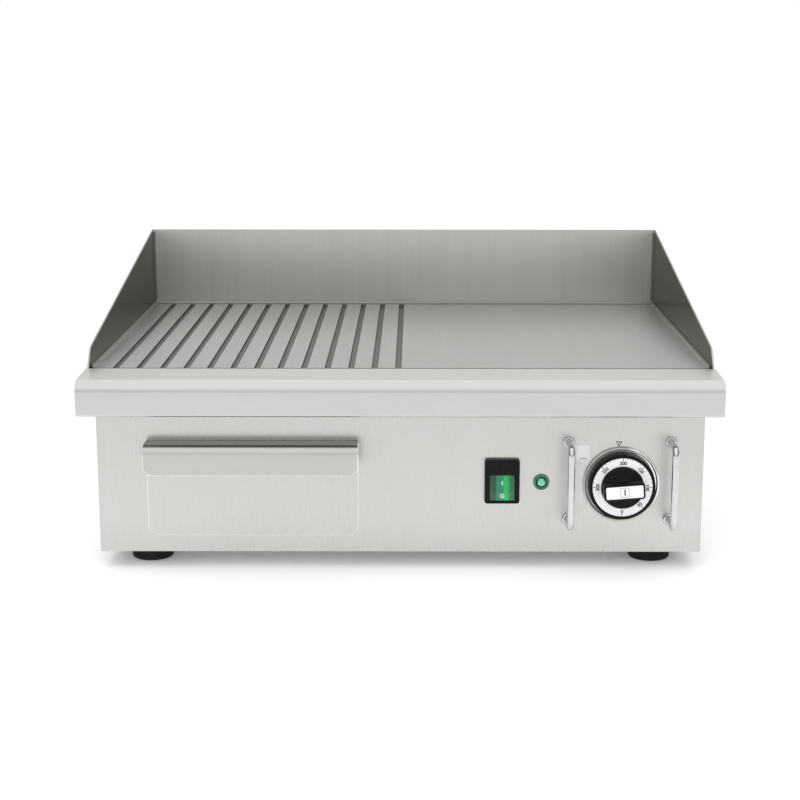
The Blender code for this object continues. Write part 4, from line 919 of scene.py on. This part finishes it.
def make_knob(plastic, white, ink):
    """Skirt, dial recess, domed hub and grip bar, with the printed scale and the white bar on the grip."""
    back, dial, front = 0.2002, -KNOB_AXIS.y, -KNOB_Y[0]
    radius = KNOB_X[1] - KNOB_AXIS.x
    brim = radius - 0.0008
    inner, outer = 0.0186, SCALE_X[1] - KNOB_AXIS.x
    hub = inner - 0.0002
    at = (KNOB_AXIS.x, 0, KNOB_AXIS.z)
    skirt = [(0, back + 0.0050), (0.0245, back + 0.0050), (0.0270, back), (radius - 0.0004, back),
             (radius, back + 0.0005), (brim, dial - 0.0014)]
    skirt += arc((brim - 0.0010, dial - 0.0012), 0.0010, 0.2, pi / 2, 4)
    skirt += [(outer + 0.0003, dial - 0.0002), (outer + 0.0002, dial - 0.0006), (hub, dial - 0.0006),
              (hub, dial + 0.0020)]
    skirt += domed(hub, dial + 0.0020, 0.0030, 12)
    skirt.append((0, dial + 0.0050))
    knob = mesh_object("knob_body", moved(turned(skirt, 128, "y"), *at))
    tilt = radians(-4.5)
    grip = mesh_object("grip", prism(rounded_rectangle((-0.0176, 0.0176), (-0.0072, 0.0072), 0.0026), "y",
                                     -front, -dial + 0.001))
    soften(grip, 0.0010, 4)
    graph = bpy.context.evaluated_depsgraph_get()
    grip_shape = bmesh.new()
    grip_shape.from_mesh(bpy.data.meshes.new_from_object(grip.evaluated_get(graph)))
    bpy.data.objects.remove(grip)
    swung(grip_shape, tilt, "Y")
    near, far = back - 0.0015, back + 0.0070
    socket = turned(((0, near), (0.0062, near), (0.0062, far), (0, far)), 32, "y")
    boolean(knob, "UNION", moved(grip_shape, *at), moved(socket, *at))
    shaft = turned(((0, back - 0.003), (0.0033, back - 0.003), (0.0033, 0.2173), (0, 0.2173)), 32, "y")
    boolean(knob, "DIFFERENCE", moved(shaft, *at))
    settle(knob, plastic, "knob", ["control_knob"])

    low, high = dial - 0.0003, dial + 0.0001
    ring_profile = ((inner, low), (outer, low), (outer, high), (inner, high))
    ring = mesh_object("scale_ring", moved(turned(ring_profile, 128, "y"), *at))
    settle(ring, white, "knob", ["knob_scale_ring"])

    ink_depth = 0.00012
    ink_front = -(dial + 0.0001)
    shapes = []
    numbers = (("200", 0), ("150", 45), ("100", 90), ("50", 135), ("0", 180), ("300", 270), ("250", 315))
    for text, degrees in numbers:
        number = moved(lettering(text, 0.0029, ink_depth, 0.00012), 0, ink_front, inner + 0.0027)
        shapes.append(swung(number, radians(degrees), "Y"))
    for degrees in range(-90, 181, 9):
        long_tick = degrees % 45 == 0
        reach = 0.0020 if long_tick else 0.0011
        width = 0.00060 if long_tick else 0.00034
        tick = block((-width / 2, width / 2), (ink_front - ink_depth / 2, ink_front + ink_depth / 2),
                     (outer - 0.0002 - reach, outer - 0.0002))
        shapes.append(swung(tick, radians(degrees), "Y"))
    scale = mesh_object("scale_numbers", moved(merged(*shapes), *at))
    settle(scale, ink, "knob")

    bar_back, bar_front = BAR_Y[1], BAR_Y[0]
    plate = rounded_rectangle((-0.0158, 0.0158), (-0.0053, 0.0053), 0.0012)
    bar = mesh_object("grip_label", prism(plate, "y", bar_front, bar_back))
    turn = Matrix.Translation(at) @ Matrix.Rotation(tilt, 4, "Y")
    bar.data.transform(turn)
    settle(bar, white, "knob", ["knob_label_bar"], 0.0002)
    frame_outer = rounded_rectangle((-0.0038, 0.0038), (-0.0042, 0.0042), 0.0014, 6)
    frame_inner = rounded_rectangle((-0.0035, 0.0035), (-0.0039, 0.0039), 0.0011, 6)
    thin = 0.00004
    box = mesh_object("grip_pointer", prism(frame_outer, "y", bar_front - thin, bar_front + 0.00003))
    boolean(box, "DIFFERENCE", prism(frame_inner, "y", bar_front - 0.001, bar_front + 0.001))
    line = prism(rounded_rectangle((-0.00055, 0.00055), (-0.0026, 0.0030), 0.0005, 4), "y", bar_front - thin,
                 bar_front + 0.00003)
    boolean(box, "UNION", line)
    box.data.transform(turn)
    settle(box, ink, "knob")


def make_guards(chrome):
    """Two bent rods with a ferrule at each leg."""
    for side in ("left", "right"):
        x, y, z = spans(f"knob_guard_{side}")
        radius = (x[1] - x[0]) / 2
        front = y[0] + radius
        legs = (z[0] + radius, z[1] - radius)
        path = ((middle(x), y[1], legs[0]), (middle(x), front, legs[0]), (middle(x), front, legs[1]),
                (middle(x), y[1], legs[1]))
        rod = mesh_object(f"guard_rod_{side}", tube(fillet_path(path, (0.0060, 0.0060), 14), radius, 32))
        settle(rod, chrome, "housing", [f"knob_guard_{side}"])
        for end, leg_z in zip(("lower", "upper"), legs):
            outer = -PANEL_FACE + GAP
            bore = radius + 0.00025
            collar = ((bore, outer), (0.0050, outer), (0.0052, outer + 0.0003), (0.0052, outer + 0.0010),
                      (0.0050, outer + 0.0014), (0.0046, outer + 0.0020), (0.0041, outer + 0.0022),
                      (bore, outer + 0.0022))
            ring = moved(turned(collar, 48, "y"), middle(x), 0, leg_z)
            ferrule = mesh_object(f"ferrule_{side}_{end}", ring)
            settle(ferrule, chrome, "housing", [f"guard_ferrule_{side}_{end}"])


# ---- feet, gland, screws ----
def make_feet(rubber):
    for name in ("front_left", "front_right", "rear_left", "rear_right"):
        x, y, z = spans(f"foot_{name}")
        radius = (x[1] - x[0]) / 2
        top = z[1]
        profile = [(0.0056, 0.0), (radius - 0.0034, 0.0), (radius - 0.0022, 0.0004)]
        profile.append((radius - 0.0013, 0.0014))
        profile += [(radius - 0.0009, 0.0045), (radius - 0.0012, 0.0049), (radius - 0.0007, 0.0053)]
        profile += [(radius, 0.0118), (radius - 0.0004, top - 0.0008), (radius - 0.0014, top)]
        profile += [(0.0026, top), (0.0026, 0.0060), (0.0056, 0.0060)]
        foot = mesh_object(f"rubber_foot_{name}", moved(turned(profile, 64), middle(x), middle(y)))
        settle(foot, rubber, "housing", [f"foot_{name}"])


def make_gland(plastic):
    """Flange and a fluted dome nut, bored through. No cord is fitted."""
    x, z = middle(GLAND_X), middle(GLAND_Z)
    outside = spans("rear_panel")[1][1] + GAP
    end = GLAND_Y[1]
    inside = GLAND_Y[0]
    profile = (
        (0.0050, -end), (0.0072, -end), (0.0084, -end + 0.0008), (0.0096, -end + 0.0026),
        (0.0100, -end + 0.0042), (0.0100, -outside - 0.0082), (0.0096, -outside - 0.0078),
        (0.0096, -outside - 0.0068), (0.0118, -outside - 0.0062), (0.0118, -outside), (0.0080, -outside),
        (0.0080, -inside), (0.0050, -inside),
    )
    gland = mesh_object("gland_body", moved(turned(profile, 144, "y", 18, 0.0007, (3, 4, 5)), x, 0, z))
    settle(gland, plastic, "housing", ["cable_gland"])


def pan_head(radius=0.0031, height=0.0014):
    """A screw head that stands on z = 0, with a cross recess."""
    dome = [(0.0, 0.0), (radius, 0.0), (radius, height * 0.35)]
    dome += domed(radius, height * 0.35, height * 0.65, 6)
    dome.append((0.0, height))
    head = mesh_object("head", turned(tuple(dome), 28))
    arm, width = radius * 0.55, radius * 0.13
    deep = height * 0.45
    boolean(head, "DIFFERENCE", block((-arm, arm), (-width, width), (deep, height * 2)),
            block((-width, width), (-arm, arm), (deep, height * 2)))
    shape = bmesh.new()
    shape.from_mesh(head.data)
    bpy.data.objects.remove(head)
    return shape


def make_panel_screws(zinc):
    """Heads of the screws that hold the rear and side panels."""
    rear_x, rear_y, rear_z = spans("rear_panel")
    heads = []
    for x in (-0.24, -0.12, 0.12, 0.24):
        for z in (rear_z[0] + 0.009, rear_z[1] - 0.019):
            heads.append(moved(swung(pan_head(), -pi / 2, "X"), x, rear_y[1], z))
    settle(mesh_object("rear_panel_screws", merged(*heads)), zinc, "housing")
    for name, side in (("left", -1), ("right", 1)):
        side_x, side_y, side_z = spans(f"side_panel_{name}")
        heads = []
        for y in (side_y[0] + 0.020, middle(side_y), side_y[1] - 0.020):
            face = side_x[1] if side > 0 else side_x[0]
            heads.append(moved(swung(pan_head(), side * pi / 2, "Y"), face, y, side_z[0] + 0.009))
        settle(mesh_object(f"side_panel_screws_{name}", merged(*heads)), zinc, "housing")


# ---- studio ----
def make_camera():
    """A long lens in front of the griddle and a little above it, tilted down."""
    data = bpy.data.cameras.new("camera")
    data.sensor_width = 36.0
    data.lens = 72.57
    data.shift_x = -0.0189
    camera = bpy.data.objects.new("camera", data)
    camera.location = (0.0126, -1.545, 0.4482)
    tilt = Matrix.Rotation(radians(77.545), 3, "X") @ Matrix.Rotation(radians(0.072), 3, "Z")
    camera.rotation_euler = tilt.to_euler()
    bpy.context.scene.collection.objects.link(camera)
    bpy.context.scene.camera = camera


SKY_STRENGTH = 1.50
GLOW_REACH = 2.5              # how far from the griddle the floor's glow is set


def make_world():
    """White for the camera. As light, it is dim from the sides and from low down behind, as in a studio
    whose ceiling is lit and whose walls are not. Light that has met two or more surfaces also finds the wall
    in front dimmer, which darkens steel that faces steel."""
    world = bpy.data.worlds.new("studio")
    world.use_nodes = True
    bpy.context.scene.world = world
    tree, links = world.node_tree.nodes, world.node_tree.links
    tree.clear()
    output = tree.new("ShaderNodeOutputWorld")
    mix = tree.new("ShaderNodeMixShader")
    seen = tree.new("ShaderNodeBackground")
    light = tree.new("ShaderNodeBackground")
    path = tree.new("ShaderNodeLightPath")
    place = tree.new("ShaderNodeTexCoord")
    split = tree.new("ShaderNodeSeparateXYZ")
    links.new(place.outputs["Generated"], split.inputs["Vector"])
    sideways = calculated(tree, links, "ABSOLUTE", split.outputs["X"])
    side_wall = ranged(tree, links, sideways, 0.0, 0.80, (0.45, 0.92))
    ahead = ranged(tree, links, split.outputs["Y"], 0.0, 1.0, (-0.15, -0.55))
    low_down = ranged(tree, links, split.outputs["Z"], 0.0, 1.0, (0.44, 0.26))
    again = ranged(tree, links, path.outputs["Ray Depth"], 0.0, 0.40, (1.0, 2.0))
    behind = ranged(tree, links, split.outputs["Y"], 0.0, 0.42, (0.30, 0.60))
    front_wall = calculated(tree, links, "MULTIPLY", ahead, low_down)
    front_again = calculated(tree, links, "MULTIPLY", front_wall, again)
    back_wall = calculated(tree, links, "MULTIPLY", behind, low_down)
    walls = calculated(tree, links, "MAXIMUM", side_wall, back_wall)
    darkest = calculated(tree, links, "MAXIMUM", walls, front_again)
    strength = ranged(tree, links, darkest, SKY_STRENGTH, 0.0, (0.0, 1.0))
    links.new(strength, light.inputs["Strength"])
    seen.inputs["Color"].default_value = (1.0, 1.0, 1.0, 1.0)
    links.new(path.outputs["Is Camera Ray"], mix.inputs["Fac"])
    links.new(light.outputs["Background"], mix.inputs[1])
    links.new(seen.outputs["Background"], mix.inputs[2])
    links.new(mix.outputs["Shader"], output.inputs["Surface"])


def make_light(name, at, target, size, power):
    data = bpy.data.lights.new(name, "AREA")
    data.shape = "RECTANGLE"
    data.size, data.size_y = size
    data.energy = power
    lamp = bpy.data.objects.new(name, data)
    lamp.location = at
    lamp.rotation_euler = (Vector(target) - Vector(at)).to_track_quat("-Z", "Y").to_euler()
    lamp.visible_glossy = False
    bpy.context.scene.collection.objects.link(lamp)


def make_floor():
    """White paper with a faint glow, which is strongest in a ring just outside the griddle's own shadow."""
    made, tree, links, shader = new_material("paper_floor")
    tone = between(tree, links, grain(tree, links, (3.0, 3.0, 3.0)), (0.90, 0.90, 0.90), (0.92, 0.92, 0.92))
    links.new(tone, shader.inputs["Base Color"])
    shader.inputs["Roughness"].default_value = 0.9
    shader.inputs["Specular IOR Level"].default_value = 0.2
    place = tree.new("ShaderNodeTexCoord")
    steps = [("ABSOLUTE", None), ("SUBTRACT", (0.24, 0.165, 0.0)), ("MAXIMUM", (0.0, 0.0, 0.0)),
             ("LENGTH", None)]
    last = place.outputs["Object"]
    for operation, constant in steps:
        step = tree.new("ShaderNodeVectorMath")
        step.operation = operation
        links.new(last, step.inputs[0])
        if constant:
            step.inputs[1].default_value = constant
        last = step.outputs["Value" if operation == "LENGTH" else "Vector"]
    shader.inputs["Emission Color"].default_value = (1.0, 1.0, 1.0, 1.0)
    away = ranged(tree, links, last, 0.0, 1.0, (0.0, GLOW_REACH))
    levels = ((0.0, 0.13), (0.016, 0.28), (0.07, 0.28), (0.20, 0.13), (1.0, 0.13))
    glow = ramped(tree, links, away, [(position, (level, level, level)) for position, level in levels])
    links.new(glow, shader.inputs["Emission Strength"])
    sheet = prism(circle((0.0, 0.0), 6.0, 96), "z", -0.02, -0.0002)
    floor = mesh_object("floor", sheet)
    floor.data.materials.append(made)


# ---- the whole scene ----
def main():
    bpy.context.scene.view_settings.view_transform = "Standard"
    make_camera()
    make_world()
    make_light("key", (-0.7, -0.7, 2.1), (0.0, 0.0, 0.1), (1.6, 1.2), 6)
    make_light("fill", (0.8, 0.8, 2.2), (0.0, 0.0, 0.1), (1.6, 1.2), 3)
    make_floor()

    front_steel = brushed_steel("front_steel", (0.585, 0.579, 0.565), "z", 0.28, 0.012, 0.01, 0.99, 0.5)
    # slightly darker than the front steel: painted shade on the pull's face
    shaded_pull_steel = brushed_steel("shaded_pull_steel", (0.570, 0.565, 0.550), "x", 0.42, 0.015, 0.02, 0.99)
    top_steel = brushed_steel("top_steel", (0.620, 0.616, 0.604), "x", 0.34, 0.02, 0.02, 0.985)
    guard_steel = brushed_steel("guard_steel", (0.600, 0.596, 0.578), "z", 0.32, 0.03, 0.03, 0.96, 0.7)
    # grazing below 1 dims the side guards' reflections at flat angles: painted shade
    side_steel = brushed_steel("side_steel", (0.510, 0.506, 0.488), "z", 0.22, 0.03, 0.03, stretch=0.7,
                               grazing=0.38)
    plate_steel = brushed_steel("plate_steel", (0.490, 0.490, 0.487), "y", 0.42, 0.03)
    groove_steel = brushed_steel("groove_steel", (0.140, 0.138, 0.135), "y", 0.42, 0.06)
    bead_steel = plain_metal("bead_steel", (0.28, 0.275, 0.26), 0.36, 0.10)
    # near-white metal for bevel faces: painted edge highlight
    edge_highlight_metal = plain_metal("edge_highlight_metal", (0.96, 0.96, 0.95), 0.18, 0.06, bump=0.02)
    # dark steel for the pull's top: painted shade under the apron's overhang
    shaded_ledge_steel = brushed_steel("shaded_ledge_steel", (0.300, 0.298, 0.290), "x", 0.30, 0.015, 0.02, 0.99)
    tray_steel = brushed_steel("tray_steel", (0.600, 0.595, 0.580), "y", 0.32)
    chrome = plain_metal("chrome", (0.66, 0.66, 0.66), 0.05, 0.03, bump=0.01)
    # the knob ring carries a painted highlight along its upper right arc
    rim_satin = rim_steel()
    zinc = plain_metal("zinc_plated", (0.66, 0.66, 0.62), 0.30, 0.12)
    copper = plain_metal("copper_tube", (0.72, 0.42, 0.28), 0.26, 0.12)
    sheath = plain_metal("element_sheath", (0.20, 0.19, 0.17), 0.45, 0.15, 120.0, 0.2)
    galvanised = galvanised_steel()
    black = moulded("black_plastic", (0.003, 0.003, 0.004), (0.007, 0.007, 0.008), 0.20, specular=0.14)
    phenolic = moulded("grey_phenolic", (0.09, 0.09, 0.10), (0.13, 0.13, 0.14), 0.50, 0.15, 0.3)
    # the white print glows a little: painted light
    white = moulded("white_print", (0.84, 0.85, 0.87), (0.90, 0.91, 0.93), 0.34, glow=0.12)
    # the pale label film glows a little: painted light
    film = moulded("pale_film", (0.72, 0.72, 0.71), (0.78, 0.78, 0.77), 0.35, glow=0.12)
    ink = moulded("dark_ink", (0.006, 0.006, 0.008), (0.014, 0.014, 0.016), 0.45, specular=0.2)
    pale_ink = moulded("pale_ink", (0.55, 0.75, 0.66), (0.70, 0.86, 0.78), 0.35)
    rubber = moulded("black_rubber", (0.008, 0.008, 0.008), (0.016, 0.016, 0.016), 0.65, 0.2, 0.35, 0.3)
    ceramic = moulded("ceramic", (0.78, 0.75, 0.68), (0.86, 0.84, 0.78), 0.55, 0.15, 0.3)
    wool = mineral_wool()
    green = rocker_green()
    rim_green = lens_green("rim_green", (0.010, 0.090, 0.050), (0.020, 0.200, 0.110), 0.1)
    dome_green = lens_green("dome_green", (0.060, 0.320, 0.190), (0.250, 0.760, 0.520), 0.3)

    make_apron(top_steel)
    make_side_splash("left", -1, side_steel)
    make_side_splash("right", 1, side_steel)
    make_rear_splash(guard_steel)
    make_hotplate(plate_steel, groove_steel)
    make_weld_beads(bead_steel)
    make_drawer_front(front_steel, shaded_pull_steel, shaded_ledge_steel, edge_highlight_metal)
    make_tray(tray_steel)
    make_switch(black, zinc, green, pale_ink)
    make_lamp(rim_green, dome_green, black)
    make_escutcheon(rim_satin)
    make_blank_label(film, ink)
    make_pointer_mark(ink)
    make_knob(black, white, ink)
    make_guards(chrome)
    make_feet(rubber)
    make_gland(black)
    make_panel_screws(zinc)

    for node in ("front_panel", "side_panel_left", "side_panel_right", "rear_panel"):
        dress(node, front_steel, 0.0003)
    for node in ("base_plate", "element_clamp_front", "element_clamp_rear", "heat_shield", "drawer_rail_left",
                 "drawer_rail_right", "rail_support"):
        dress(node, galvanised, 0.0002)
    dress("drain_spout", top_steel)
    dress("insulation_mat", wool)
    for side in ("left", "right"):
        dress(f"heating_element_{side}", sheath)
        for end in ("lower", "upper"):
            dress(f"guard_nut_{side}_{end}", zinc)
        for row in ("front", "rear"):
            dress(f"clamp_nut_{row}_{side}", zinc)
            dress(f"foot_screw_{row}_{side}", zinc)
    dress("thermostat_body", phenolic)
    dress("thermostat_shaft", zinc)
    dress("thermostat_sensor", copper)
    dress("high_limit_cutout", ceramic)
    dress("terminal_block", ceramic)
    dress("earth_stud", zinc)
    dress("gland_locknut", black)
    dress("pilot_lamp_body", black)


main()
